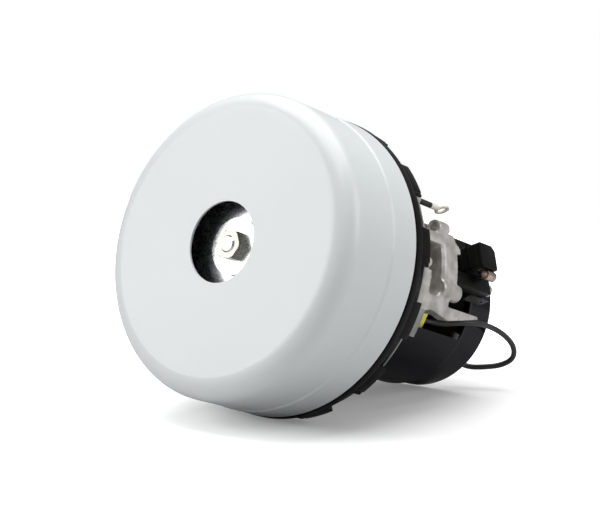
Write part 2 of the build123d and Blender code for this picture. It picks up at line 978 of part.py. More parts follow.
def brush_terminal():
    """Copper strap under the box, its outer end curled to a barrel."""
    strap = brick((terminal_start_x, terminal_curl_x), (brush_start, brush_end_y),
                  (-box_low - terminal_sheet, -box_low))
    low = brush_middle - tab_width / 3
    barrel = Cylinder(terminal_curl_radius, brush_end_y - low)
    barrel -= Cylinder(terminal_curl_radius - terminal_sheet, brush_end_y - low + overrun)
    place = Pos(terminal_curl_x, (brush_end_y + low) / 2, -box_low - terminal_curl_radius)
    return turn(strap + place * Rot(90, 0, 0) * barrel, brush_angle)


def spade_tab():
    """Steel push-on tab fixed to the side of the yoke's lower leg."""
    top = -yoke_leg_outer_z
    outer = yoke_leg_outer - tab_inset
    middle = outer - tab_width / 2
    tab = brick((outer - tab_width, outer),
                (yoke_end - tab_seat, yoke_end + tab_reach), (top - tab_sheet, top))
    corners = tab.edges().filter_by(Axis.Z).group_by(Axis.Y)[-1]
    tab = chamfer(corners, tab_width / 6)
    tab -= Pos(middle, yoke_end + tab_reach / 2, top) * Cylinder(tab_hole, tab_width)
    return turn(tab, brush_angle)


def yoke_screw_places():
    """Middle of each leg as (x, z) in the brush frame and the side it stands on."""
    lower = (yoke_leg_outer - yoke_leg_depth / 2, -(yoke_leg_inner_z + yoke_leg_outer_z) / 2)
    upper = (yoke_upper_outer - yoke_leg_depth / 2, (yoke_upper_inner_z + yoke_leg_outer_z) / 2)
    return [(*leg, side) for side in (0, 180) for leg in (lower, upper)]


def yoke_screw_hole(place, start, end, clearance):
    """Cylinder along one leg's screw line."""
    circle = math.hypot(place[0], place[1])
    degrees = math.degrees(math.atan2(place[1], place[0])) + brush_angle + place[2]
    return rod(screw_radius + clearance, start, end, circle, degrees)


def commutator_bracket():
    """Black moulded yoke: bearing hub, cross bar and four legs that stand on the wings."""
    hub_radius = bearing_radius + yoke_hub_wall
    bearing_end = rear_bearing_start + bearing_width
    bar = brick((-yoke_upper_outer, yoke_upper_outer), (yoke_start, yoke_end),
                (-yoke_half_width, yoke_half_width))
    rib = brick((-yoke_leg_outer + yoke_leg_depth, yoke_leg_outer - yoke_leg_depth),
                (yoke_end - overrun, yoke_end + yoke_rib), (-yoke_rib / 2, yoke_rib / 2))
    body = bar + rib
    lower = (yoke_leg_outer - yoke_leg_depth, yoke_leg_outer)
    upper = (yoke_upper_outer - yoke_leg_depth, yoke_upper_outer)
    side = brick(lower, (yoke_start, yoke_end), (-yoke_leg_outer_z, 0))
    side += brick(upper, (yoke_start, yoke_end), (0, yoke_leg_outer_z))
    side += brick(lower, (web_end, yoke_end), (-yoke_leg_outer_z, -yoke_leg_inner_z))
    side += brick(upper, (web_end, yoke_end), (yoke_upper_inner_z, yoke_leg_outer_z))
    for legs in pair(side):
        body += legs
    body = turn(body, brush_angle)
    body += rod(hub_radius, yoke_start, bearing_end + yoke_rib / 2)
    body -= rod(bearing_relief, yoke_start - overrun, rear_bearing_start + overrun)
    body -= rod(bearing_radius + slip_gap, rear_bearing_start, bearing_end + overrun + yoke_rib)
    for place in yoke_screw_places():
        body -= yoke_screw_hole(place, web_end - overrun, yoke_end + overrun, seat_gap)
    return body


def bracket_screws():
    """Four long screws through the yoke's legs into the wings."""
    screws = []
    for place in yoke_screw_places():
        circle = math.hypot(place[0], place[1])
        degrees = math.degrees(math.atan2(place[1], place[0])) + brush_angle + place[2]
        screws.append(screw(web_start, yoke_end, circle, degrees))
    return gather(screws)


def motor_cover():
    """Glossy cup with a stepped rear band, two side windows, a rear grille and two ears."""
    body = turned(
        (cover_radius - cover_wall, floor_end),
        (cover_radius, floor_end),
        (cover_radius, cover_step, step_round),
        (band_radius, cover_step + step_round),
        (band_radius, cover_end, cover_round),
        (0, cover_end),
        (0, cover_end - cover_wall),
        (band_radius - cover_wall, cover_end - cover_wall),
        (band_radius - cover_wall, cover_step - cover_wall + step_round),
        (cover_radius - cover_wall, cover_step - cover_wall),
    )
    window = sector(cover_radius + overrun, band_radius - cover_wall - overrun,
                    floor_end - overrun, cover_step - cover_wall, window_from, window_to)
    corners = window.edges().group_by(Axis.Y)[-1].filter_by(GeomType.LINE)
    window = fillet(corners, window_round)
    for opening in pair(window):
        body -= opening
    slot_ends = (cover_end - cover_wall - overrun, cover_end + overrun)
    slot = brick((grille_inner, grille_outer), slot_ends, (-grille_slot / 2, grille_slot / 2))
    slot = fillet(slot.edges().filter_by(Axis.Y), grille_slot * 0.49)
    for index in range(grille_count):
        degrees = index * 360 / grille_count
        if abs(degrees - grommet_angle % 360) < 180 / grille_count:
            continue
        body -= turn(slot, degrees)
    body -= rod(lead_radius + grommet_sleeve, *slot_ends, grommet_circle, grommet_angle)
    ear_start = floor_end + spigot_height
    for degrees in ear_angles:
        body += rod(ear_radius, ear_start, ear_start + ear_thickness, ear_circle, degrees) - rod(
            cover_radius - cover_wall, ear_start - overrun, ear_start + ear_thickness + overrun)
        body -= rod(screw_radius + seat_gap, ear_start - overrun,
                    ear_start + ear_thickness + overrun, ear_circle, degrees)
    return body


def cooling_fan():
    """Moulded fan with straight blades on a flat backplate."""
    back = tube(fan_radius, shaft_radius + slip_gap, fan_start, fan_start + fan_sheet)
    hub = tube(fan_hub, shaft_radius + slip_gap, fan_start, fan_start + fan_depth / 2)
    one = brick((fan_blade_inner, fan_radius),
                (fan_start + fan_sheet / 2, fan_start + fan_depth),
                (-fan_sheet / 2, fan_sheet / 2))
    corner = one.edges().filter_by(Axis.Z).sort_by(Axis.X)[0:2].sort_by(Axis.Y)[-1]
    one = chamfer(corner, fan_depth / 3)
    body = back + hub
    for index in range(fan_blades):
        body += turn(one, index * 360 / fan_blades)
    return body


def main_lead():
    """Lead wire along its route, straight runs joined by the largest arcs they allow."""
    points = [Vector(*place) for place in lead_route]
    radii = []
    for before, here, after in zip(points, points[1:], points[2:]):
        one = here - before
        two = after - here
        half = math.radians(one.get_angle(two)) / 2
        radii.append(lead_round_share * min(one.length, two.length) / math.tan(half))
    path = FilletPolyline(*points, radius=radii)
    print("lead length", round(path.length, 1), "tightest bend", round(min(radii), 1))
    section = Plane(origin=path @ 0, z_dir=path % 0) * Circle(lead_radius)
    tube_solid = sweep(section, path=path)
    print("lead volume ratio",
          round(tube_solid.volume / (math.pi * lead_radius ** 2 * path.length), 4))
    return tube_solid


def lead_grommet():
    """Rubber bush in the rear face that the lead goes back through."""
    flange = rod(grommet_flange, cover_end, grommet_end, grommet_circle, grommet_angle)
    flange = fillet(flange.edges().group_by(Axis.Y)[-1], grommet_stand / 3)
    sleeve_radius = lead_radius + grommet_sleeve - slip_gap
    body = flange + rod(sleeve_radius, cover_end - cover_wall, cover_end,
                        grommet_circle, grommet_angle)
    return body - rod(lead_radius + slip_gap, cover_end - cover_wall - overrun,
                      grommet_end + overrun, grommet_circle, grommet_angle)


def lead_splice():
    """Shrunk sleeve on the joint between the field wire and the lead."""
    end = stator_end + splice_length
    body = rod(splice_radius, stator_end + collar_sheet, end, splice_circle, splice_angle)
    return fillet(body.edges().group_by(Axis.Y)[-1], splice_radius / 3)


def lead_clip():
    """Grey clip on the window's lower edge."""
    base = sector(cover_radius + clip_reach, cover_radius - cover_wall, clip_start,
                  clip_start + clip_length, clip_from, clip_to)
    return base


def earth_lead():
    """Stiff sleeved stub that stands on the end plate."""
    return rod(earth_radius, plate_end, sleeve_end, earth_circle, earth_angle)


def ring_terminal():
    """Tinned ferrule and eye crimped on the stub's end."""
    eye_middle = sleeve_end + ferrule_length + ring_terminal_radius
    ferrule = rod(earth_radius, sleeve_end, sleeve_end + ferrule_length)
    eye = Pos(0, eye_middle, 0) * Cylinder(ring_terminal_radius, ring_terminal_sheet)
    eye -= Pos(0, eye_middle, 0) * Cylinder(ring_terminal_hole, ring_terminal_sheet + overrun)
    neck = brick((-earth_radius, earth_radius),
                 (sleeve_end + ferrule_length - overrun, eye_middle - ring_terminal_hole - overrun),
                 (-ring_terminal_sheet / 2, ring_terminal_sheet / 2))
    terminal = turn(ferrule + neck + eye, ring_terminal_twist)
    return turn(Pos(earth_circle, 0, 0) * terminal, earth_angle)


def plate_screws():
    """Screws through the bracket and the end plate into the discharge ring."""
    return gather([screw(post_end - plate_screw_grip + overrun, floor_end, plate_screw_circle, degrees)
                   for degrees in plate_screw_angles])


def stator_screws():
    """Long screws through the field core into the bracket's standoffs."""
    return gather([screw(floor_end + overrun, stator_end, stator_screw_circle, degrees)
                   for degrees in stator_screw_angles])


def cover_screws():
    """Screws through the cover's two ears into the bracket."""
    start = plate_end + seat_gap
    end = floor_end + spigot_height + ear_thickness
    return gather([screw(start, end, ear_circle, degrees) for degrees in ear_angles])


first_spacer_start = disc_start + impeller_sheet
second_spacer_start = second_disc_start + impeller_sheet
front_bearing_end = front_bearing_start + bearing_width

nodes = {
    "fan_shroud": fan_shroud(),
    "stage_diffuser": stage_diffuser(),
    "stage_separator": stage_separator(),
    "discharge_ring": discharge_ring(),
    "shaft_seal": shaft_seal(),
    "end_plate": end_plate(),
    "plate_screws": plate_screws(),
    "fan_end_bracket": fan_end_bracket(),
    "front_bearing_outer": bearing_outer(front_bearing_start),
    "stator_core": stator_core(),
    "stator_screws": stator_screws(),
    "field_coil_upper": field_coil(90),
    "field_coil_lower": field_coil(270),
    "coil_insulation": coil_insulation(),
    "commutator_bracket": commutator_bracket(),
    "bracket_screws": bracket_screws(),
    "rear_bearing_outer": bearing_outer(rear_bearing_start),
    "motor_cover": motor_cover(),
    "cover_screws": cover_screws(),
    "main_lead": main_lead(),
    "lead_splice": lead_splice(),
    "lead_grommet": lead_grommet(),
    "lead_clip": lead_clip(),
    "earth_lead": earth_lead(),
    "ring_terminal": ring_terminal(),
    "shaft": shaft(),
    "lock_nut": nut(nut_width, nut_start, nut_end),
    "clamp_washer": tube(washer_radius, shaft_radius + slip_gap, nut_end, disc_start),
    "impeller_first": impeller(disc_start),
    "impeller_spacer": tube(spacer_radius, shaft_radius + slip_gap, first_spacer_start,
                            second_disc_start),
    "impeller_second": impeller(second_disc_start),
    "bearing_spacer": tube(spacer_radius, shaft_radius + slip_gap, second_spacer_start,
                           front_bearing_start),
    "front_bearing_inner": bearing_inner(front_bearing_start),
    "armature_core": armature_core(),
    "armature_winding": armature_winding(),
    "commutator": commutator(),
    "commutator_hub": commutator_hub(),
    "rear_bearing_inner": bearing_inner(rear_bearing_start),
    "cooling_fan": cooling_fan(),
    "fan_nut": nut(fan_nut_width, fan_start + fan_depth / 2,
                   fan_start + fan_depth / 2 + fan_nut_thickness),
}
for side, angle in (("right", 0), ("left", 180)):
    nodes["brush_box_" + side] = turn(brush_box(), angle)
    nodes["brush_tube_" + side] = turn(brush_tube(), angle)
    nodes["brush_cap_" + side] = turn(brush_cap(), angle)
    nodes["brush_terminal_" + side] = turn(brush_terminal(), angle)
    nodes["spade_tab_" + side] = turn(spade_tab(), angle)
    nodes["carbon_brush_" + side] = turn(carbon_brush(), angle)
    nodes["brush_spring_" + side] = turn(brush_spring(), angle)

os.makedirs("parts", exist_ok=True)
for name, shape in nodes.items():
    export_step(shape, "parts/" + name + ".step")
print(len(nodes), "nodes")
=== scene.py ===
# %% [markdown]
# # A vacuum motor, dressed for its photograph
# The object is a two-stage suction motor: a pale painted fan drum in front, a black vented ring
# behind it, and then the die-cast bracket, the brush gear and the glossy black motor cover.
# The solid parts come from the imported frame. This lesson gives each one its finish and adds the
# pieces that a plain solid can't show. Every length is in metres, and the shaft lies along +Y.

# %% Load the frame
import json
import math

import bmesh
import bpy
from mathutils import Matrix, Vector


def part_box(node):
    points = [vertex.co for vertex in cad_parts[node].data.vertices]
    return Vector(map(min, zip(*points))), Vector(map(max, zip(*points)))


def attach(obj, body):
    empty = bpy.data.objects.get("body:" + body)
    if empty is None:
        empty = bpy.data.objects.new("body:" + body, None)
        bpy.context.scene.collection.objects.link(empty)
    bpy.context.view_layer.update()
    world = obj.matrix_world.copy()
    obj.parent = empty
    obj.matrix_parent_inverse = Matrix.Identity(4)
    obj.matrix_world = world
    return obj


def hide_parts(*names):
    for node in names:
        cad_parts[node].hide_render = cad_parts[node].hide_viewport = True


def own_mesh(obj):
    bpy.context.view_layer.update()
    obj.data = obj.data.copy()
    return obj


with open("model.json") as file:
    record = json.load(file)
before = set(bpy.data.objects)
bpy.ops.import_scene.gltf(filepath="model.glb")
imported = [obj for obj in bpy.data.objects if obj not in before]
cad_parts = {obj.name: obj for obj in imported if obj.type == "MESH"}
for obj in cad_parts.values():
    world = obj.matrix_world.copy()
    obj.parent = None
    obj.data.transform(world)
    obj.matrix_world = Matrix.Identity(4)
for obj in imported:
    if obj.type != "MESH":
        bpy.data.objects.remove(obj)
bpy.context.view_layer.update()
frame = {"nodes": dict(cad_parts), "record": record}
scene = bpy.context.scene
mm = 0.001
print("nodes in the frame:", len(frame["nodes"]))

# %% [markdown]
# ## The camera
# The photograph was taken from a little below the drum's middle and well to its right. A lens
# of 113 mm on a 36 mm sensor gives the flat, calm perspective of a product picture. Blender could
# take three angles for its aim, but its place, the place it looks at and a direction for up are
# easier to read, so a small function turns these into the camera's matrix.

# %% Set up the camera
camera_place = Vector((0.5861, -0.6255, -0.0930))
camera_target = Vector((0.01298, 0.04062, 0.00374))
camera_up = Vector((-0.0828, -0.2126, 0.9736))
lens_length = 113.46
sensor_width = 36.0
nearest_seen = 0.01


def aim(place, target, up):
    """Matrix of a camera or lamp that looks from place to target with up above."""
    back = (place - target).normalized()
    right = up.cross(back).normalized()
    turned = Matrix((right, back.cross(right), back)).transposed()
    return Matrix.Translation(place) @ turned.to_4x4()


lens = bpy.data.cameras.new("product_camera")
lens.lens = lens_length
lens.sensor_width = sensor_width
lens.clip_start = nearest_seen
camera = bpy.data.objects.new("product_camera", lens)
camera.matrix_world = aim(camera_place, camera_target, camera_up)
scene.collection.objects.link(camera)
scene.camera = camera
print("camera distance", round((camera_place - camera_target).length, 3))

# %% [markdown]
# ## The lead
# The black lead leaves a shrunk sleeve inside the right window, swings out behind the motor in one
# free loop and goes back in through a rubber bush in the rear face. A lead is a fixed length of
# something limp, so it is one smooth spline that follows listed points, with a round section.
# The spline's order is set after its points exist, because before that Blender keeps it at straight
# runs. The section's size is in each point's own radius.

# %% Lay the lead
lead_diameter = 2.8 * mm
lead_route = [
    (32.81, 116.0, -10.66),
    (32.81, 121.5, -10.66),
    (38.0, 129.2, -9.9),
    (43.6, 136.9, -7.0),
    (45.6, 147.5, -5.2),
    (45.0, 160.5, -4.9),
    (46.0, 172.0, -7.0),
    (46.8, 180.2, -11.2),
    (44.6, 184.8, -16.8),
    (38.8, 183.2, -21.2),
    (31.6, 179.0, -23.7),
    (24.2, 176.2, -25.1),
    (19.93, 170.2, -23.75),
    (19.93, 163.9, -23.75),
]
curve = bpy.data.curves.new("motor_lead", "CURVE")
curve.dimensions = "3D"
curve.bevel_depth = 1.0
curve.bevel_resolution = 6
curve.resolution_u = 16
curve.use_fill_caps = True
spline = curve.splines.new("NURBS")
spline.points.add(len(lead_route) - 1)
for point, place in zip(spline.points, lead_route):
    point.co = (*(Vector(place) * mm), 1.0)
    point.radius = lead_diameter / 2
spline.order_u = 3
spline.use_endpoint_u = True
motor_lead = bpy.data.objects.new("motor_lead", curve)
scene.collection.objects.link(motor_lead)
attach(motor_lead, "housing")
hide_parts("main_lead")
print("lead points", len(lead_route))

# %% [markdown]
# ## Floor, backdrop and light
# The motor rests on the ring's lower edge and on the rear of its cover, so the floor is tilted by
# the angle between those two places. The floor and the world are white only to the camera, which
# keeps the light on the object at a plain level. The floor also glows more and more with the
# distance from a place under the motor, so the shadow fades out as it does on a studio table.
# Three square lamps stand in for the softboxes of a studio: a large one overhead, one at the front
# left, and a weak one at the rear right that draws the edge of the cover.

# %% Floor and backdrop
ring_rest = Vector((0, 55.3, -73.35)) * mm
cover_rest = Vector((0, 165.3, -39.4)) * mm
floor_slope = math.atan2(cover_rest.z - ring_rest.z, cover_rest.y - ring_rest.y)
floor_half = 0.9
floor_mesh = bpy.data.meshes.new("studio_floor")
floor_turn = Matrix.Translation(ring_rest) @ Matrix.Rotation(floor_slope, 4, "X")
floor_corners = [floor_turn @ Vector((x * floor_half, y * floor_half, 0))
                 for x, y in ((-1, -1), (1, -1), (1, 1), (-1, 1))]
floor_mesh.from_pydata(floor_corners, [], [(0, 1, 2, 3)])
studio_floor = bpy.data.objects.new("studio_floor", floor_mesh)
scene.collection.objects.link(studio_floor)
print("floor slope in degrees", round(math.degrees(floor_slope), 2))

# %% The world's white
world = bpy.data.worlds.new("studio")
scene.world = world
world.use_nodes = True
world_tree = world.node_tree
world_tree.nodes.clear()
sky_level = 0.30
plain_sky = world_tree.nodes.new("ShaderNodeBackground")
plain_sky.inputs["Color"].default_value = (1, 1, 1, 1)
plain_sky.inputs["Strength"].default_value = sky_level
white_sky = world_tree.nodes.new("ShaderNodeBackground")
white_sky.inputs["Color"].default_value = (1, 1, 1, 1)
white_sky.inputs["Strength"].default_value = 1.0
sky_mix = world_tree.nodes.new("ShaderNodeMixShader")
sky_out = world_tree.nodes.new("ShaderNodeOutputWorld")
world_path = world_tree.nodes.new("ShaderNodeLightPath")
world_tree.links.new(world_path.outputs["Is Camera Ray"], sky_mix.inputs[0])
world_tree.links.new(plain_sky.outputs[0], sky_mix.inputs[1])
world_tree.links.new(white_sky.outputs[0], sky_mix.inputs[2])
world_tree.links.new(sky_mix.outputs[0], sky_out.inputs[0])
print("sky level", sky_level)

# %% The floor's glow
floor_glow_centre = (0.03, 0.14, -0.047)
floor_glow_near, floor_glow_far = 0.16, 1.0
floor_glow_start, floor_glow_end = 0.075, 0.22
floor_finish = bpy.data.materials.new("studio_floor")
floor_finish.use_nodes = True
floor_tree = floor_finish.node_tree
floor_tree.nodes.clear()
floor_ray = floor_tree.nodes.new("ShaderNodeLightPath")
floor_place = floor_tree.nodes.new("ShaderNodeTexCoord")
floor_from = floor_tree.nodes.new("ShaderNodeVectorMath")
floor_from.operation = "SUBTRACT"
floor_from.inputs[1].default_value = floor_glow_centre
floor_reach = floor_tree.nodes.new("ShaderNodeVectorMath")
floor_reach.operation = "LENGTH"
floor_fade = floor_tree.nodes.new("ShaderNodeMapRange")
floor_fade.interpolation_type = "SMOOTHSTEP"
for label, value in (("From Min", floor_glow_start), ("From Max", floor_glow_end),
                     ("To Min", floor_glow_near), ("To Max", floor_glow_far)):
    floor_fade.inputs[label].default_value = value
floor_shown = floor_tree.nodes.new("ShaderNodeMath")
floor_shown.operation = "MULTIPLY"
for source, target in (
        (floor_place.outputs["Object"], floor_from.inputs[0]),
        (floor_from.outputs["Vector"], floor_reach.inputs[0]),
        (floor_reach.outputs["Value"], floor_fade.inputs["Value"]),
        (floor_fade.outputs[0], floor_shown.inputs[0]),
        (floor_ray.outputs["Is Camera Ray"], floor_shown.inputs[1])):
    floor_tree.links.new(source, target)
print("floor glow from", floor_glow_near, "to", floor_glow_far)

# %% Floor paint
floor_seen, floor_bounce = 0.93, 0.55
floor_side = floor_tree.nodes.new("ShaderNodeNewGeometry")
floor_tone = floor_tree.nodes.new("ShaderNodeMapRange")
floor_tone.inputs["To Min"].default_value = floor_bounce
floor_tone.inputs["To Max"].default_value = floor_seen
floor_paint = floor_tree.nodes.new("ShaderNodeBsdfDiffuse")
floor_lift = floor_tree.nodes.new("ShaderNodeEmission")
floor_add = floor_tree.nodes.new("ShaderNodeAddShader")
floor_clear = floor_tree.nodes.new("ShaderNodeBsdfTransparent")
floor_pick = floor_tree.nodes.new("ShaderNodeMixShader")
floor_out = floor_tree.nodes.new("ShaderNodeOutputMaterial")
for source, target in (
        (floor_ray.outputs["Is Camera Ray"], floor_tone.inputs["Value"]),
        (floor_tone.outputs[0], floor_paint.inputs["Color"]),
        (floor_shown.outputs[0], floor_lift.inputs["Strength"]),
        (floor_paint.outputs[0], floor_add.inputs[0]),
        (floor_lift.outputs[0], floor_add.inputs[1]),
        (floor_side.outputs["Backfacing"], floor_pick.inputs[0]),
        (floor_add.outputs[0], floor_pick.inputs[1]),
        (floor_clear.outputs[0], floor_pick.inputs[2]),
        (floor_pick.outputs[0], floor_out.inputs["Surface"])):
    floor_tree.links.new(source, target)
floor_mesh.materials.append(floor_finish)
print("floor colour", floor_seen, "to the camera and", floor_bounce, "to the light")

# %% Lamps
lamp_up = Vector((0, 1, 0.01))


def soft_lamp(name, place, size, watts, target=camera_target):
    """Square area lamp aimed at the motor."""
    data = bpy.data.lights.new(name, "AREA")
    data.shape = "SQUARE"
    data.size = size
    data.energy = watts
    lamp = bpy.data.objects.new(name, data)
    lamp.matrix_world = aim(Vector(place), target, lamp_up)
    scene.collection.objects.link(lamp)


soft_lamp("overhead_box", place=(-0.06, -0.16, 1.1), size=1.4, watts=17.5)
soft_lamp("front_box", place=(-0.82, -1.12, 0.27), size=0.8, watts=6.8)
soft_lamp("right_box", place=(0.95, 0.45, 0.6), size=0.6, watts=2.6)

# %% [markdown]
# ## Shared surface effects
# Real finishes are never one flat colour. Three small node groups are enough for the whole motor:
# clouds of tone under a fine grain of gloss, the fine rings that a lathe leaves, and the lines along
# one direction of drawn or stacked metal. Each is built once, and the materials place it with values
# of their own.

# %% Node helpers
def new_group(name, inputs, outputs):
    """Empty shader group with named sockets."""
    group = bpy.data.node_groups.new(name, "ShaderNodeTree")
    for label, kind in inputs:
        group.interface.new_socket(label, in_out="INPUT", socket_type=kind)
    for label, kind in outputs:
        group.interface.new_socket(label, in_out="OUTPUT", socket_type=kind)
    return group, group.nodes.new("NodeGroupInput"), group.nodes.new("NodeGroupOutput")


def place_node(tree, kind, **settings):
    """Add a node and set its plain properties."""
    made = tree.nodes.new(kind)
    for name, value in settings.items():
        setattr(made, name, value)
    return made


def ramp_range(tree, value, low, high, into_low, into_high):
    """Map Range node whose ends are numbers or sockets."""
    made = tree.nodes.new("ShaderNodeMapRange")
    tree.links.new(value, made.inputs["Value"])
    for label, end in (("From Min", low), ("From Max", high),
                       ("To Min", into_low), ("To Max", into_high)):
        if isinstance(end, (int, float)):
            made.inputs[label].default_value = end
        else:
            tree.links.new(end, made.inputs[label])
    return made.outputs[0]


print("node helpers", new_group.__name__, place_node.__name__, ramp_range.__name__)

# %% Clouded surface group
cloud_detail, grain_detail = 4.0, 3.0
cloud_low, cloud_high = 0.36, 0.64
grain_low, grain_high = 0.3, 0.7
clouded, clouded_in, clouded_out = new_group(
    "clouded_surface",
    [("Vector", "NodeSocketVector"), ("Tone A", "NodeSocketColor"), ("Tone B", "NodeSocketColor"),
     ("Cloud Scale", "NodeSocketFloat"), ("Grain Scale", "NodeSocketFloat"),
     ("Rough Low", "NodeSocketFloat"), ("Rough High", "NodeSocketFloat")],
    [("Color", "NodeSocketColor"), ("Roughness", "NodeSocketFloat"), ("Height", "NodeSocketFloat")])
cloud_noise = place_node(clouded, "ShaderNodeTexNoise")
cloud_noise.inputs["Detail"].default_value = cloud_detail
grain_noise = place_node(clouded, "ShaderNodeTexNoise")
grain_noise.inputs["Detail"].default_value = grain_detail
tone_mix = place_node(clouded, "ShaderNodeMix", data_type="RGBA")
for noise, scale in ((cloud_noise, "Cloud Scale"), (grain_noise, "Grain Scale")):
    clouded.links.new(clouded_in.outputs["Vector"], noise.inputs["Vector"])
    clouded.links.new(clouded_in.outputs[scale], noise.inputs["Scale"])
cloud_mask = ramp_range(clouded, cloud_noise.outputs["Fac"], cloud_low, cloud_high, 0.0, 1.0)
clouded.links.new(cloud_mask, tone_mix.inputs["Factor"])
clouded.links.new(clouded_in.outputs["Tone A"], tone_mix.inputs["A"])
clouded.links.new(clouded_in.outputs["Tone B"], tone_mix.inputs["B"])
clouded.links.new(tone_mix.outputs["Result"], clouded_out.inputs["Color"])
clouded_rough = ramp_range(clouded, grain_noise.outputs["Fac"], grain_low, grain_high,
                           clouded_in.outputs["Rough Low"], clouded_in.outputs["Rough High"])
clouded.links.new(clouded_rough, clouded_out.inputs["Roughness"])
clouded.links.new(grain_noise.outputs["Fac"], clouded_out.inputs["Height"])
print("group", clouded.name)

# %% Lathe ring and drawn line groups
ring_detail, line_detail = 5.0, 4.0
rings, rings_in, rings_out = new_group(
    "lathe_rings", [("Vector", "NodeSocketVector"), ("Scale", "NodeSocketFloat")],
    [("Value", "NodeSocketFloat")])
flatten = place_node(rings, "ShaderNodeVectorMath", operation="MULTIPLY")
flatten.inputs[1].default_value = (1, 0, 1)
radius_of = place_node(rings, "ShaderNodeVectorMath", operation="LENGTH")
ring_noise = place_node(rings, "ShaderNodeTexNoise", noise_dimensions="1D")
ring_noise.inputs["Detail"].default_value = ring_detail
rings.links.new(rings_in.outputs["Vector"], flatten.inputs[0])
rings.links.new(flatten.outputs[0], radius_of.inputs[0])
rings.links.new(radius_of.outputs["Value"], ring_noise.inputs["W"])
rings.links.new(rings_in.outputs["Scale"], ring_noise.inputs["Scale"])
rings.links.new(ring_noise.outputs["Fac"], rings_out.inputs["Value"])

lines, lines_in, lines_out = new_group(
    "drawn_lines", [("Vector", "NodeSocketVector"), ("Along", "NodeSocketVector"),
                    ("Scale", "NodeSocketFloat")],
    [("Value", "NodeSocketFloat")])
squeeze = place_node(lines, "ShaderNodeVectorMath", operation="MULTIPLY")
line_noise = place_node(lines, "ShaderNodeTexNoise")
line_noise.inputs["Detail"].default_value = line_detail
lines.links.new(lines_in.outputs["Vector"], squeeze.inputs[0])
lines.links.new(lines_in.outputs["Along"], squeeze.inputs[1])
lines.links.new(squeeze.outputs[0], line_noise.inputs["Vector"])
lines.links.new(lines_in.outputs["Scale"], line_noise.inputs["Scale"])
lines.links.new(line_noise.outputs["Fac"], lines_out.inputs["Value"])
print("groups", rings.name, lines.name)

# %% [markdown]
# ## The finishes
# One function writes a material from a few plain facts: two tones, how the gloss varies, how metallic
# it is, and how deep its grain is. Turned, drawn or stacked metal takes rings or lines in place of
# the grain. A few solids then get a finish that their slot in the record is too plain for. The lock
# nut's own finish is painted shade: a darker copy of its zinc, so that its reflection stays below
# white.

# %% A finish from a few facts
coat_roughness = 0.08


def finish(name, tone_a, tone_b, rough, metallic=0.0, coat=0.0, cloud=60.0, grain=900.0,
           depth=0.02 * mm, marks=None, mark_scale=2500.0, along=(1, 1, 1), shine=0.5):
    """Material for one slot. marks is None, "rings" or "lines"."""
    made = bpy.data.materials.new(name)
    made.use_nodes = True
    tree = made.node_tree
    tree.nodes.clear()
    place = tree.nodes.new("ShaderNodeTexCoord")
    surface = place_node(tree, "ShaderNodeGroup", node_tree=clouded)
    surface.inputs["Tone A"].default_value = (*tone_a, 1)
    surface.inputs["Tone B"].default_value = (*tone_b, 1)
    surface.inputs["Cloud Scale"].default_value = cloud
    surface.inputs["Grain Scale"].default_value = grain
    surface.inputs["Rough Low"].default_value = rough[0]
    surface.inputs["Rough High"].default_value = rough[1]
    tree.links.new(place.outputs["Object"], surface.inputs["Vector"])
    skin = tree.nodes.new("ShaderNodeBsdfPrincipled")
    skin.inputs["Metallic"].default_value = metallic
    skin.inputs["Coat Weight"].default_value = coat
    skin.inputs["Specular IOR Level"].default_value = shine
    skin.inputs["Coat Roughness"].default_value = coat_roughness
    bump = tree.nodes.new("ShaderNodeBump")
    bump.inputs["Distance"].default_value = depth
    tree.links.new(surface.outputs["Color"], skin.inputs["Base Color"])
    tree.links.new(surface.outputs["Roughness"], skin.inputs["Roughness"])
    height = surface.outputs["Height"]
    if marks:
        group = rings if marks == "rings" else lines
        marked = place_node(tree, "ShaderNodeGroup", node_tree=group)
        tree.links.new(place.outputs["Object"], marked.inputs["Vector"])
        marked.inputs["Scale"].default_value = mark_scale
        if marks == "lines":
            marked.inputs["Along"].default_value = along
        height = marked.outputs["Value"]
    tree.links.new(height, bump.inputs["Height"])
    tree.links.new(bump.outputs["Normal"], skin.inputs["Normal"])
    out = tree.nodes.new("ShaderNodeOutputMaterial")
    tree.links.new(skin.outputs[0], out.inputs["Surface"])
    return made


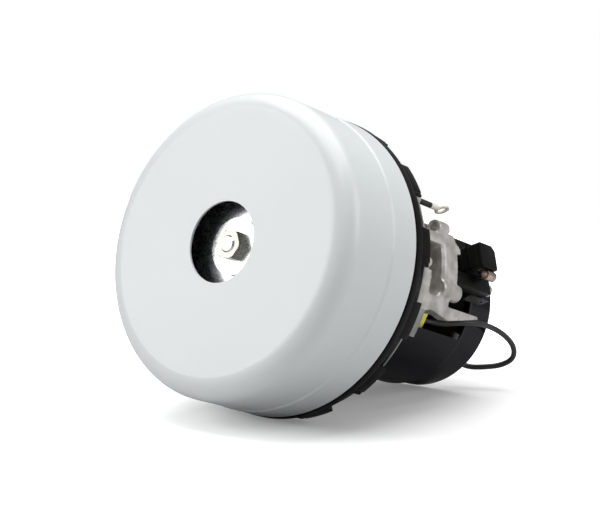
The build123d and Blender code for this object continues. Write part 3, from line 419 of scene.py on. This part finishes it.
# %% A recipe for each finish
recipes = {
    "shroud_paint": dict(
        tone_a=(0.735, 0.775, 0.775), tone_b=(0.765, 0.80, 0.80), rough=(0.30, 0.38), coat=0.15,
        cloud=9, grain=1400, depth=0.012 * mm),
    "stage_sheet": dict(
        tone_a=(0.60, 0.61, 0.62), tone_b=(0.68, 0.69, 0.70), rough=(0.3, 0.45), metallic=1.0,
        depth=0.003 * mm),
    "black_moulding": dict(
        tone_a=(0.004, 0.004, 0.004), tone_b=(0.007, 0.0068, 0.0065), rough=(0.26, 0.42),
        cloud=120, grain=2200, depth=0.02 * mm, shine=0.10),
    "seal_rubber": dict(
        tone_a=(0.015, 0.015, 0.015), tone_b=(0.03, 0.03, 0.03), rough=(0.55, 0.75)),
    "galvanised_sheet": dict(
        tone_a=(0.20, 0.235, 0.235), tone_b=(0.46, 0.455, 0.44), rough=(0.35, 0.55), metallic=0.7,
        cloud=55, grain=700, depth=0.006 * mm),
    "zinc_steel": dict(
        tone_a=(0.66, 0.67, 0.68), tone_b=(0.80, 0.81, 0.80), rough=(0.18, 0.34), metallic=1.0,
        marks="rings", mark_scale=1500, depth=0.0006 * mm),
    "cast_aluminium": dict(
        tone_a=(0.47, 0.45, 0.42), tone_b=(0.70, 0.68, 0.65), rough=(0.38, 0.6), metallic=0.85,
        cloud=160, grain=1700, depth=0.07 * mm),
    "bearing_steel": dict(
        tone_a=(0.62, 0.63, 0.65), tone_b=(0.72, 0.73, 0.75), rough=(0.15, 0.28), metallic=1.0,
        marks="rings", depth=0.0007 * mm),
    "core_steel": dict(
        tone_a=(0.24, 0.25, 0.27), tone_b=(0.36, 0.37, 0.39), rough=(0.4, 0.6), metallic=0.9,
        marks="lines", along=(0.02, 1, 0.02), mark_scale=2600, depth=0.05 * mm),
    "enamelled_wire": dict(
        tone_a=(0.42, 0.13, 0.04), tone_b=(0.58, 0.21, 0.07), rough=(0.2, 0.35), metallic=0.6,
        coat=0.6, marks="lines", along=(1, 0.05, 1), mark_scale=1400, depth=0.15 * mm),
    "yellow_film": dict(
        tone_a=(0.90, 0.78, 0.05), tone_b=(0.96, 0.88, 0.10), rough=(0.2, 0.35)),
    "cover_gloss": dict(
        tone_a=(0.0045, 0.004, 0.008), tone_b=(0.0065, 0.006, 0.0105), rough=(0.12, 0.2), cloud=40,
        grain=500, depth=0.006 * mm, shine=0.18),
    "lead_sleeve": dict(
        tone_a=(0.018, 0.018, 0.018), tone_b=(0.035, 0.035, 0.035), rough=(0.3, 0.45), grain=1800),
    "grey_clip": dict(
        tone_a=(0.008, 0.008, 0.008), tone_b=(0.018, 0.018, 0.019), rough=(0.25, 0.4)),
    "tinned_copper": dict(
        tone_a=(0.80, 0.76, 0.64), tone_b=(0.90, 0.87, 0.77), rough=(0.3, 0.45), metallic=0.25,
        depth=0.006 * mm),
    "impeller_sheet": dict(
        tone_a=(0.70, 0.71, 0.72), tone_b=(0.80, 0.81, 0.82), rough=(0.22, 0.3), metallic=1.0,
        marks="rings", mark_scale=900, depth=0.0002 * mm),
    "copper_bars": dict(
        tone_a=(0.46, 0.27, 0.19), tone_b=(0.68, 0.44, 0.33), rough=(0.15, 0.3), metallic=1.0,
        depth=0.003 * mm),
    "fan_moulding": dict(
        tone_a=(0.035, 0.035, 0.037), tone_b=(0.05, 0.05, 0.052), rough=(0.35, 0.5)),
    "brass_tube": dict(
        tone_a=(0.66, 0.46, 0.18), tone_b=(0.78, 0.58, 0.26), rough=(0.2, 0.4), metallic=1.0,
        marks="lines", along=(0.05, 1, 1)),
    "carbon": dict(
        tone_a=(0.03, 0.03, 0.032), tone_b=(0.06, 0.06, 0.062), rough=(0.45, 0.65)),
    "terminal_copper": dict(
        tone_a=(0.34, 0.26, 0.22), tone_b=(0.60, 0.48, 0.41), rough=(0.2, 0.35), metallic=1.0,
        cloud=300, depth=0.008 * mm),
    "tab_steel": dict(
        tone_a=(0.03, 0.031, 0.033), tone_b=(0.06, 0.062, 0.065), rough=(0.2, 0.3), metallic=0.9,
        cloud=120, depth=0.003 * mm),
    # Painted shade: the lock nut's zinc is a darker copy of zinc_steel, so its reflection stays below
    # white.
    "nut_zinc_shaded": dict(
        tone_a=(0.27, 0.265, 0.24), tone_b=(0.32, 0.312, 0.285), rough=(0.12, 0.22), metallic=1.0,
        depth=0.0008 * mm),
    "woven_sleeve": dict(
        tone_a=(0.008, 0.008, 0.008), tone_b=(0.05, 0.05, 0.048), rough=(0.5, 0.7), cloud=900,
        marks="lines", along=(1, 0.35, 1), mark_scale=1500, depth=0.2 * mm, shine=0.3),
    "spring_steel": dict(
        tone_a=(0.5, 0.5, 0.51), tone_b=(0.62, 0.62, 0.63), rough=(0.2, 0.35), metallic=1.0),
}
finishes = {name: finish(name, **recipe) for name, recipe in recipes.items()}
print("finishes", len(finishes))

# %% Put the finishes on the solids
own_finishes = {
    "brush_terminal_right": "terminal_copper",
    "brush_terminal_left": "terminal_copper",
    "spade_tab_right": "tab_steel",
    "spade_tab_left": "tab_steel",
    "earth_lead": "woven_sleeve",
    # The lock nut takes the darkened zinc, a painted shade.
    "lock_nut": "nut_zinc_shaded",
}
for row in frame["record"]["subparts"]:
    solid = frame["nodes"][row["node"]]
    solid.data.materials.clear()
    solid.data.materials.append(finishes[row["material_slot"]])
for name, own in own_finishes.items():
    frame["nodes"][name].data.materials[0] = finishes[own]
curve.materials.append(finishes["lead_sleeve"])
print("solids with a finish of their own", len(own_finishes))

# %% [markdown]
# ## Tools for the pieces
# A solid from the CAD has knife-sharp edges, which nothing cast, moulded or pressed has. The first
# tool copies a solid, merges its loose triangles and rounds every edge that is sharper than a
# chosen angle. A Bevel modifier rounds edges too, but the bmesh tool leaves a plain mesh at once.
# The second tool runs a Geometry Nodes tree on an object and keeps the plain mesh it makes.

# %% A merged copy of solids
weld_gap = 0.002 * mm
flat_angle = math.radians(0.6)


def merged_copy(nodes):
    """Mesh work copy of some CAD nodes, with doubled corners merged and flat faces joined."""
    work = bmesh.new()
    for name in nodes:
        work.from_mesh(frame["nodes"][name].data)
    bmesh.ops.remove_doubles(work, verts=work.verts, dist=weld_gap)
    bmesh.ops.dissolve_limit(work, angle_limit=flat_angle, verts=work.verts, edges=work.edges)
    return work


print("corners are merged within", round(weld_gap / mm, 3), "mm")

# %% Keeping a piece
sharp_angle = math.radians(32)


def settle(piece, slot, body="housing", nodes=()):
    """Give a piece its finish, smooth shading and body, and hide the CAD nodes that it stands for."""
    if piece.name not in scene.collection.objects:
        scene.collection.objects.link(piece)
    mesh = piece.data
    mesh.materials.clear()
    mesh.materials.append(finishes[slot])
    mesh.polygons.foreach_set("use_smooth", [True] * len(mesh.polygons))
    mesh.polygons.foreach_set("material_index", [0] * len(mesh.polygons))
    mesh.set_sharp_from_angle(angle=sharp_angle)
    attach(piece, body)
    if nodes:
        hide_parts(*nodes)
    reach = max(max(abs(value) for value in vertex.co) for vertex in mesh.vertices)
    print(piece.name, "faces", len(mesh.polygons), "reaches", round(reach / mm, 1), "mm")
    return piece


def keep(name, work, slot, body="housing", nodes=()):
    """Turn a mesh work copy into a finished piece that rides on a body."""
    bmesh.ops.triangulate(work, faces=work.faces)
    mesh = bpy.data.meshes.new(name)
    work.to_mesh(mesh)
    work.free()
    return settle(bpy.data.objects.new(name, mesh), slot, body, nodes)


print("edges over", round(math.degrees(sharp_angle)), "degrees are sharp")

# %% Rounding a copy's edges
round_profile = 0.5


def soften(work, radius, steps):
    """Round the sharp edges of a mesh work copy."""
    edges = [edge for edge in work.edges
             if edge.is_manifold and edge.calc_face_angle(0) > sharp_angle]
    bmesh.ops.bevel(work, geom=edges, offset=radius, segments=steps, profile=round_profile,
                    affect="EDGES", clamp_overlap=True)


def rounded(name, nodes, radius, slot, body="housing", steps=2):
    """Piece with the shape of CAD nodes and rounded edges."""
    work = merged_copy(nodes)
    soften(work, radius, steps)
    return keep(name, work, slot, body, nodes)


print("bevels have a profile of", round_profile)

# %% Helpers for Geometry Nodes trees
def new_tree(name, inputs):
    """Empty Geometry Nodes tree with a geometry socket and named inputs."""
    tree = bpy.data.node_groups.new(name, "GeometryNodeTree")
    tree.interface.new_socket("Geometry", in_out="INPUT", socket_type="NodeSocketGeometry")
    for label, kind in inputs:
        tree.interface.new_socket(label, in_out="INPUT", socket_type=kind)
    tree.interface.new_socket("Geometry", in_out="OUTPUT", socket_type="NodeSocketGeometry")
    return tree, tree.nodes.new("NodeGroupInput"), tree.nodes.new("NodeGroupOutput")


def grow(piece, tree, settings):
    """Run a tree on an object once and keep the plain mesh that comes out."""
    if piece.name not in scene.collection.objects:
        scene.collection.objects.link(piece)
    modifier = piece.modifiers.new(tree.name, "NODES")
    modifier.node_group = tree
    for item in tree.interface.items_tree:
        if item.in_out == "INPUT" and item.name in settings:
            modifier[item.identifier] = settings[item.name]
    ready = piece.evaluated_get(bpy.context.evaluated_depsgraph_get())
    plain = bpy.data.meshes.new_from_object(ready)
    piece.modifiers.clear()
    piece.data = plain
    return piece


def finish_tree(tree, geometry, group_in, group_out):
    """End a tree in Realize Instances and Set Material."""
    real = tree.nodes.new("GeometryNodeRealizeInstances")
    paint = tree.nodes.new("GeometryNodeSetMaterial")
    tree.links.new(geometry, real.inputs["Geometry"])
    tree.links.new(real.outputs["Geometry"], paint.inputs["Geometry"])
    tree.links.new(group_in.outputs["Material"], paint.inputs["Material"])
    tree.links.new(paint.outputs["Geometry"], group_out.inputs["Geometry"])


print("tree helpers", new_tree.__name__, grow.__name__, finish_tree.__name__)

# %% A tree that sweeps wires along paths
wire_tree, wire_in, wire_out = new_tree("wire_along_paths", [
    ("Wire Radius", "NodeSocketFloat"), ("Sides", "NodeSocketInt"),
    ("Material", "NodeSocketMaterial")])
wire_path = wire_tree.nodes.new("GeometryNodeMeshToCurve")
wire_ring = wire_tree.nodes.new("GeometryNodeCurvePrimitiveCircle")
wire_sweep = wire_tree.nodes.new("GeometryNodeCurveToMesh")
wire_sweep.inputs["Fill Caps"].default_value = True
wire_tree.links.new(wire_in.outputs["Geometry"], wire_path.inputs["Mesh"])
wire_tree.links.new(wire_in.outputs["Wire Radius"], wire_ring.inputs["Radius"])
wire_tree.links.new(wire_in.outputs["Sides"], wire_ring.inputs["Resolution"])
wire_tree.links.new(wire_path.outputs["Curve"], wire_sweep.inputs["Curve"])
wire_tree.links.new(wire_ring.outputs["Curve"], wire_sweep.inputs["Profile Curve"])
finish_tree(wire_tree, wire_sweep.outputs["Mesh"], wire_in, wire_out)
print("nodes in", wire_tree.name, len(wire_tree.nodes))

# %% A tree that sets copies round the shaft
round_tree, round_in, round_out = new_tree("copies_round_shaft", [
    ("Count", "NodeSocketInt"), ("Start Angle", "NodeSocketFloat"),
    ("Material", "NodeSocketMaterial")])
round_points = round_tree.nodes.new("GeometryNodePoints")
round_place = round_tree.nodes.new("GeometryNodeInstanceOnPoints")
round_index = round_tree.nodes.new("GeometryNodeInputIndex")
round_step = place_node(round_tree, "ShaderNodeMath", operation="DIVIDE")
round_step.inputs[0].default_value = 2 * math.pi
round_turn = place_node(round_tree, "ShaderNodeMath", operation="MULTIPLY_ADD")
round_sign = place_node(round_tree, "ShaderNodeMath", operation="MULTIPLY")
round_sign.inputs[1].default_value = -1.0
round_axis = round_tree.nodes.new("ShaderNodeCombineXYZ")
round_euler = round_tree.nodes.new("FunctionNodeEulerToRotation")
round_tree.links.new(round_in.outputs["Count"], round_points.inputs["Count"])
round_tree.links.new(round_in.outputs["Count"], round_step.inputs[1])
round_tree.links.new(round_index.outputs[0], round_turn.inputs[0])
round_tree.links.new(round_step.outputs[0], round_turn.inputs[1])
round_tree.links.new(round_in.outputs["Start Angle"], round_turn.inputs[2])
round_tree.links.new(round_turn.outputs[0], round_sign.inputs[0])
round_tree.links.new(round_sign.outputs[0], round_axis.inputs["Y"])
round_tree.links.new(round_axis.outputs[0], round_euler.inputs[0])
round_tree.links.new(round_points.outputs[0], round_place.inputs["Points"])
round_tree.links.new(round_in.outputs["Geometry"], round_place.inputs["Instance"])
round_tree.links.new(round_euler.outputs[0], round_place.inputs["Rotation"])
finish_tree(round_tree, round_place.outputs[0], round_in, round_out)
print("nodes in", round_tree.name, len(round_tree.nodes))

# %% [markdown]
# ## The die-cast bracket
# The bracket is die-cast aluminium, so its corners are soft, its walls meet in small hollows and
# its skin is slightly uneven. Rounding edge by edge can't fill the inner corners. A voxel remesh can:
# it rebuilds the whole solid from small cells, and a few rounds of smoothing then melt the edges.

# %% Cast bracket
cast_cell = 0.55 * mm
cast_rounds = 2
cast_share = 0.5
cast_work = merged_copy(["fan_end_bracket"])
bmesh.ops.triangulate(cast_work, faces=cast_work.faces)
cast_mesh = bpy.data.meshes.new("cast_bracket")
cast_work.to_mesh(cast_mesh)
cast_work.free()
cast_bracket = bpy.data.objects.new("cast_bracket", cast_mesh)
scene.collection.objects.link(cast_bracket)
cast_cells = cast_bracket.modifiers.new("cells", "REMESH")
cast_cells.mode = "VOXEL"
cast_cells.voxel_size = cast_cell
cast_melt = cast_bracket.modifiers.new("melt", "SMOOTH")
cast_melt.factor = cast_share
cast_melt.iterations = cast_rounds
cast_ready = cast_bracket.evaluated_get(bpy.context.evaluated_depsgraph_get())
cast_bracket.data = bpy.data.meshes.new_from_object(cast_ready)
cast_bracket.modifiers.clear()
settle(cast_bracket, "cast_aluminium", nodes=["fan_end_bracket"])

# %% [markdown]
# ## The vented ring
# The black ring behind the drum is one moulding: a lip that the drum is rolled against, and thirteen
# posts with slots between them for the air. A ring of equal posts is a rule, so one post is
# made by hand and a tree sets its copies round the shaft. The lip and the ring's floor are the
# same all the way round, so each is an outline that a small lathe turns.

# %% Ring sizes and one post
post_count = 13
post_first = math.radians(14.0)
post_half = math.radians(6.5)
post_radius = 72.5 * mm
post_inner = 64.0 * mm
post_start = 54.3 * mm
post_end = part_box("discharge_ring")[1].y
post_round = 0.55 * mm
post_sharp = math.radians(50)
outer_steps, inner_steps = 6, 4
nub_inner, nub_outer = 70.4 * mm, 71.9 * mm
nub_above, nub_below = 1.0 * mm, -2.0 * mm
nub_short = 0.6 * mm


def prism(work, outline, start, end):
    """Closed prism along the shaft from an outline of (x, z) places."""
    front = [work.verts.new((x, start, z)) for x, z in outline]
    back = [work.verts.new((x, end, z)) for x, z in outline]
    work.faces.new(front)
    work.faces.new(back[::-1])
    for index in range(len(outline)):
        after = (index + 1) % len(outline)
        work.faces.new((front[index], back[index], back[after], front[after]))


def arc_places(radius, first, last, steps):
    """Places on an arc round the shaft."""
    angles = [first + (last - first) * step / steps for step in range(steps + 1)]
    return [(radius * math.cos(angle), radius * math.sin(angle)) for angle in angles]


post_work = bmesh.new()
outer_arc = arc_places(post_radius, -post_half, post_half, outer_steps)
inner_arc = arc_places(post_inner, post_half, -post_half, inner_steps)
prism(post_work, outer_arc + inner_arc, post_start, post_end)
nub_side = -post_radius * math.sin(post_half)
nub_face = [(nub_inner, nub_side + nub_above), (nub_outer, nub_side + nub_above),
            (nub_outer, nub_side + nub_below), (nub_inner, nub_side + nub_below)]
prism(post_work, nub_face, post_start, post_end - nub_short)
bmesh.ops.recalc_face_normals(post_work, faces=post_work.faces)
post_edges = [edge for edge in post_work.edges if edge.calc_face_angle(0) > post_sharp]
bmesh.ops.bevel(post_work, geom=post_edges, offset=post_round, segments=3, profile=round_profile,
                affect="EDGES", clamp_overlap=True)
post_mesh = bpy.data.meshes.new("vent_posts")
post_work.to_mesh(post_mesh)
post_work.free()
print("faces in one post", len(post_mesh.polygons))

# %% Posts round the shaft, and the ring that carries them
vent_posts = bpy.data.objects.new("vent_posts", post_mesh)
grow(vent_posts, round_tree, {"Count": post_count, "Start Angle": post_first,
                              "Material": finishes["black_moulding"]})


def lathe(work, outline, steps=192):
    """Closed body of revolution round the shaft from an outline of (radius, y) places."""
    rows = []
    for step in range(steps):
        angle = 2 * math.pi * step / steps
        rows.append([work.verts.new((r * math.cos(angle), y, r * math.sin(angle)))
                     for r, y in outline])
    for step in range(steps):
        here, there = rows[step], rows[(step + 1) % steps]
        for index in range(len(outline)):
            after = (index + 1) % len(outline)
            work.faces.new((here[index], here[after], there[after], there[index]))


ring_work = bmesh.new()
ring_work.from_mesh(vent_posts.data)
bpy.data.objects.remove(vent_posts)
lip_outline = [(69.2, 43.1), (71.8, 43.1), (71.95, 43.4), (71.95, 50.3), (72.5, 50.3),
               (72.5, 51.05), (72.95, 51.1), (73.25, 51.4), (73.3, 51.8), (73.3, 54.7),
               (73.15, 55.1), (72.8, 55.3), (69.6, 55.3), (69.2, 54.9)]
floor_outline = [(9.55, 37.0), (58.0, 37.0), (66.2, 62.7), (64.0, 62.7), (55.8, 39.5),
                 (9.55, 39.5)]
for outline in (lip_outline, floor_outline):
    lathe(ring_work, [(r * mm, y * mm) for r, y in outline])
bmesh.ops.recalc_face_normals(ring_work, faces=ring_work.faces)
keep("vent_ring", ring_work, "black_moulding", nodes=["discharge_ring"])

# %% [markdown]
# ## Moulded and pressed parts with soft edges
# The yoke, the end plate, the clip and the ring terminal keep the solids' shapes, and only their
# edges are rounded. A moulding has a bigger radius than a sheared sheet, so each names its own.

# %% Rounded mouldings and sheets
rounded("bearing_yoke", ["commutator_bracket"], radius=0.5 * mm, slot="black_moulding", steps=3)
rounded("folded_end_plate", ["end_plate"], radius=0.16 * mm, slot="galvanised_sheet")
rounded("window_clip", ["lead_clip"], radius=0.5 * mm, slot="grey_clip")
rounded("ring_eye", ["ring_terminal"], radius=0.22 * mm, slot="tinned_copper")

# %% [markdown]
# ## Brush holders
# Each holder is a deep black box with its rear corner cut off, three ribs that wrap round its front
# and top, and a shelf below that hides the copper strap. It could be drawn from nothing, but a cut
# copy of the CAD solid keeps the real place and size, and plain blocks laid into it make the ribs.
# Both holders are the same moulding turned half round the shaft, so one function builds them.

# %% Holder sizes
brush_angle = 23.0
box_floor, box_roof = -5.7, 7.3
rib_places = (47.5, 52.0, 56.5)
rib_half = 0.9
rib_stand = 0.55
rib_foot = 1.0
wall_sink = 0.4
rear_gap = 0.6
shelf_start, shelf_end = 48.5, 58.6
shelf_drop, shelf_sink = 1.7, 0.3
corner_cut = 3.4
body_round, lid_round = 0.3 * mm, 0.45 * mm


def brush_turn(side):
    """Turn from a brush's own frame to its place on the motor."""
    degrees = brush_angle if side == "right" else brush_angle + 180.0
    return Matrix.Rotation(-math.radians(degrees), 4, "Y")


print("ribs on a holder", len(rib_places))

# %% Blocks and cut corners
def block(work, low, high, turn):
    """Closed box between two corners in millimetres, turned into place."""
    corners = [work.verts.new(turn @ (Vector((x, y, z)) * mm))
               for x in (low[0], high[0]) for y in (low[1], high[1]) for z in (low[2], high[2])]
    for face in ((0, 1, 3, 2), (4, 6, 7, 5), (0, 4, 5, 1), (2, 3, 7, 6), (0, 2, 6, 4), (1, 5, 7, 3)):
        work.faces.new([corners[index] for index in face])


def cut_corner(work, place, normal):
    """Cut off what lies beyond a plane and close the cut."""
    cut = bmesh.ops.bisect_plane(work, geom=work.verts[:] + work.edges[:] + work.faces[:],
                                 plane_co=place, plane_no=normal, clear_outer=True)
    edges = [item for item in cut["geom_cut"] if isinstance(item, bmesh.types.BMEdge)]
    bmesh.ops.edgenet_fill(work, edges=edges)


print("holder helpers", block.__name__, cut_corner.__name__)

# %% Ribbed holders and their lids
def holder_piece(name, node, side, radius, ribs):
    """Brush box or lid with its corner cut off and its sharp edges rounded."""
    turn = brush_turn(side)
    low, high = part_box(node)
    front, back = low.y / mm, high.y / mm
    work = merged_copy([node])
    cut_corner(work, turn @ (Vector((0, back - corner_cut, box_roof)) * mm),
               turn.to_3x3() @ Vector((0, 1, 1)).normalized())
    if ribs:
        for place in rib_places:
            block(work, (place - rib_half, front - rib_stand, box_floor + rib_foot),
                  (place + rib_half, front + wall_sink, box_roof + rib_stand), turn)
            block(work, (place - rib_half, front - rib_stand, box_roof - wall_sink),
                  (place + rib_half, back - corner_cut - rear_gap, box_roof + rib_stand), turn)
        block(work, (shelf_start, front + wall_sink, box_floor - shelf_drop),
              (shelf_end, back - rear_gap, box_floor + shelf_sink), turn)
    bmesh.ops.recalc_face_normals(work, faces=work.faces)
    soften(work, radius, steps=2)
    return keep(name, work, "black_moulding", nodes=[node])


for side in ("right", "left"):
    holder_piece("holder_body_" + side, "brush_box_" + side, side, body_round, ribs=True)
    holder_piece("holder_lid_" + side, "brush_cap_" + side, side, lid_round, ribs=False)

# %% [markdown]
# ## The windings
# Enamelled copper is what makes a motor look like one. Each field coil is a stack of closed loops
# that follow one rule, and the armature's end turns cross from slot to slot over the shaft. Each
# wire could be a curve object of its own, but there are hundreds. So the rules give the paths as
# the edges of one mesh, and the wire tree sweeps a round section along them all at once.

# %% Wires along paths
wire_sides = 6


def wires(name, paths, radius, slot, body, nodes, closed=False, core=()):
    """Piece made of round wires along lists of points, over a solid core if one is named."""
    points = []
    edges = []
    for path in paths:
        first = len(points)
        points += path
        edges += [(first + step, first + step + 1) for step in range(len(path) - 1)]
        if closed:
            edges.append((len(points) - 1, first))
    mesh = bpy.data.meshes.new(name)
    mesh.from_pydata(points, edges, [])
    piece = grow(bpy.data.objects.new(name, mesh), wire_tree,
                 {"Wire Radius": radius, "Sides": wire_sides, "Material": finishes[slot]})
    work = merged_copy(core)
    work.from_mesh(piece.data)
    bpy.data.objects.remove(piece)
    bmesh.ops.recalc_face_normals(work, faces=work.faces)
    return keep(name, work, slot, body, nodes)


def round_shaft(radius, y, angle):
    """Point at a radius, a place along the shaft and an angle round it."""
    return Vector((radius * math.cos(angle), y, radius * math.sin(angle))) * mm


print("sides of a wire", wire_sides)

# %% Field coils
coil_low, coil_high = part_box("field_coil_upper")
coil_middle = (coil_low.y + coil_high.y) / 2 / mm
coil_reach = (coil_high.y - coil_low.y) / 2 / mm
coil_layers, coil_turns = 8, 7
coil_inner, coil_outer = 25.3, 32.8
coil_half, hole_half = 60.0, 27.4
coil_end_width = 6.2
hole_reach = coil_reach - coil_end_width
loop_steps = 60
corner_power = 0.3
field_wire = 0.46 * mm


def coil_loops(pole):
    """Closed loops of one field coil round a pole at an angle in degrees."""
    loops = []
    for layer in range(coil_layers):
        radius = coil_inner + (layer + 0.5) * (coil_outer - coil_inner) / coil_layers
        for turn in range(coil_turns):
            share = (turn + 0.5) / coil_turns
            half = math.radians(hole_half + share * (coil_half - hole_half))
            reach = hole_reach + share * (coil_reach - hole_reach)
            loop = []
            for step in range(loop_steps):
                angle = 2 * math.pi * step / loop_steps
                over = math.copysign(abs(math.cos(angle)) ** corner_power, math.cos(angle))
                along = math.copysign(abs(math.sin(angle)) ** corner_power, math.sin(angle))
                loop.append(round_shaft(radius, coil_middle + reach * along,
                                        math.radians(pole) + half * over))
            loops.append(loop)
    return loops


for name, pole in (("upper", 90), ("lower", 270)):
    wires("coil_wires_" + name, coil_loops(pole), field_wire, "enamelled_wire", "housing",
          ["field_coil_" + name], closed=True)

# %% Armature end turns
wound_low, wound_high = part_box("armature_winding")
slot_count, slot_strands = 12, 6
slots_crossed = 5
turn_outer, turn_inner = 18.8, 10.4
turn_rise = 5.6
turn_path_steps = 16
rise_rate = 3.2
dip_start = 0.3
strand_pitch, strand_turn = 0.13, 0.035
level_count, level_step, level_base = 3, 0.22, 0.1
armature_wire = 0.36 * mm


def end_turns(face, inward):
    """Wires that cross one end of the winding from slot to slot."""
    paths = []
    for slot in range(slot_count):
        for strand in range(slot_strands):
            start = 2 * math.pi * slot / slot_count
            span = 2 * math.pi * (slots_crossed - strand_pitch * strand) / slot_count
            path = []
            for step in range(turn_path_steps + 1):
                share = step / turn_path_steps
                dip = math.sin(math.pi * share)
                rise = min(1.0, rise_rate * dip)
                depth = max(0.0, dip - dip_start) / (1 - dip_start)
                radius = turn_outer - (turn_outer - turn_inner) * depth
                level = (slot % level_count) * level_step - level_base
                path.append(round_shaft(radius, face + inward * (turn_rise * (1 - rise) - level),
                                        start + span * share + strand_turn * strand))
            paths.append(path)
    return paths


riser_count = 24
riser_path = ((15.6, 110.4, 0.22), (15.2, 112.3, 0.1), (14.0, 114.2, 0), (12.9, 115.5, 0))
riser_leads = []
for index in range(riser_count):
    angle = 2 * math.pi * (index + 0.5) / riser_count
    riser_leads.append([round_shaft(radius, y, angle - lag) for radius, y, lag in riser_path])
wires("armature_turns",
      end_turns(wound_low.y / mm, 1) + end_turns(wound_high.y / mm, -1) + riser_leads,
      armature_wire, "enamelled_wire", "rotor", ["armature_winding"], core=["armature_winding"])

# %% [markdown]
# ## Brush springs
# A coiled spring pushes each brush on to the copper bars. A Screw modifier could wind one, but the
# wire tree is here already and needs only a helix for a path. The coil's outer end lies against the
# lid.

# %% Spring coils
spring_turns, turn_steps = 9, 20
spring_radius, spring_wire = 2.3, 0.3
for side in ("right", "left"):
    turn = brush_turn(side)
    outward = turn.to_3x3() @ Vector((1, 0, 0))
    spring_low, spring_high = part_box("brush_spring_" + side)
    middle = (spring_low.y + spring_high.y) / 2 / mm
    along = [vertex.co.dot(outward) / mm
             for vertex in frame["nodes"]["brush_spring_" + side].data.vertices]
    inner_end, outer_end = min(along) + spring_wire, max(along) - spring_wire
    path = []
    for step in range(spring_turns * turn_steps + 1):
        share = step / (spring_turns * turn_steps)
        angle = 2 * math.pi * spring_turns * share
        path.append(turn @ (Vector((inner_end + (outer_end - inner_end) * share,
                                    middle + spring_radius * math.cos(angle),
                                    spring_radius * math.sin(angle))) * mm))
    spring_coil = wires("spring_coil_" + side, [path], spring_wire * mm, "spring_steel", "housing",
                        ["brush_spring_" + side])
    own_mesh(spring_coil)

# %% A plain view transform
scene.view_settings.view_transform = "Standard"
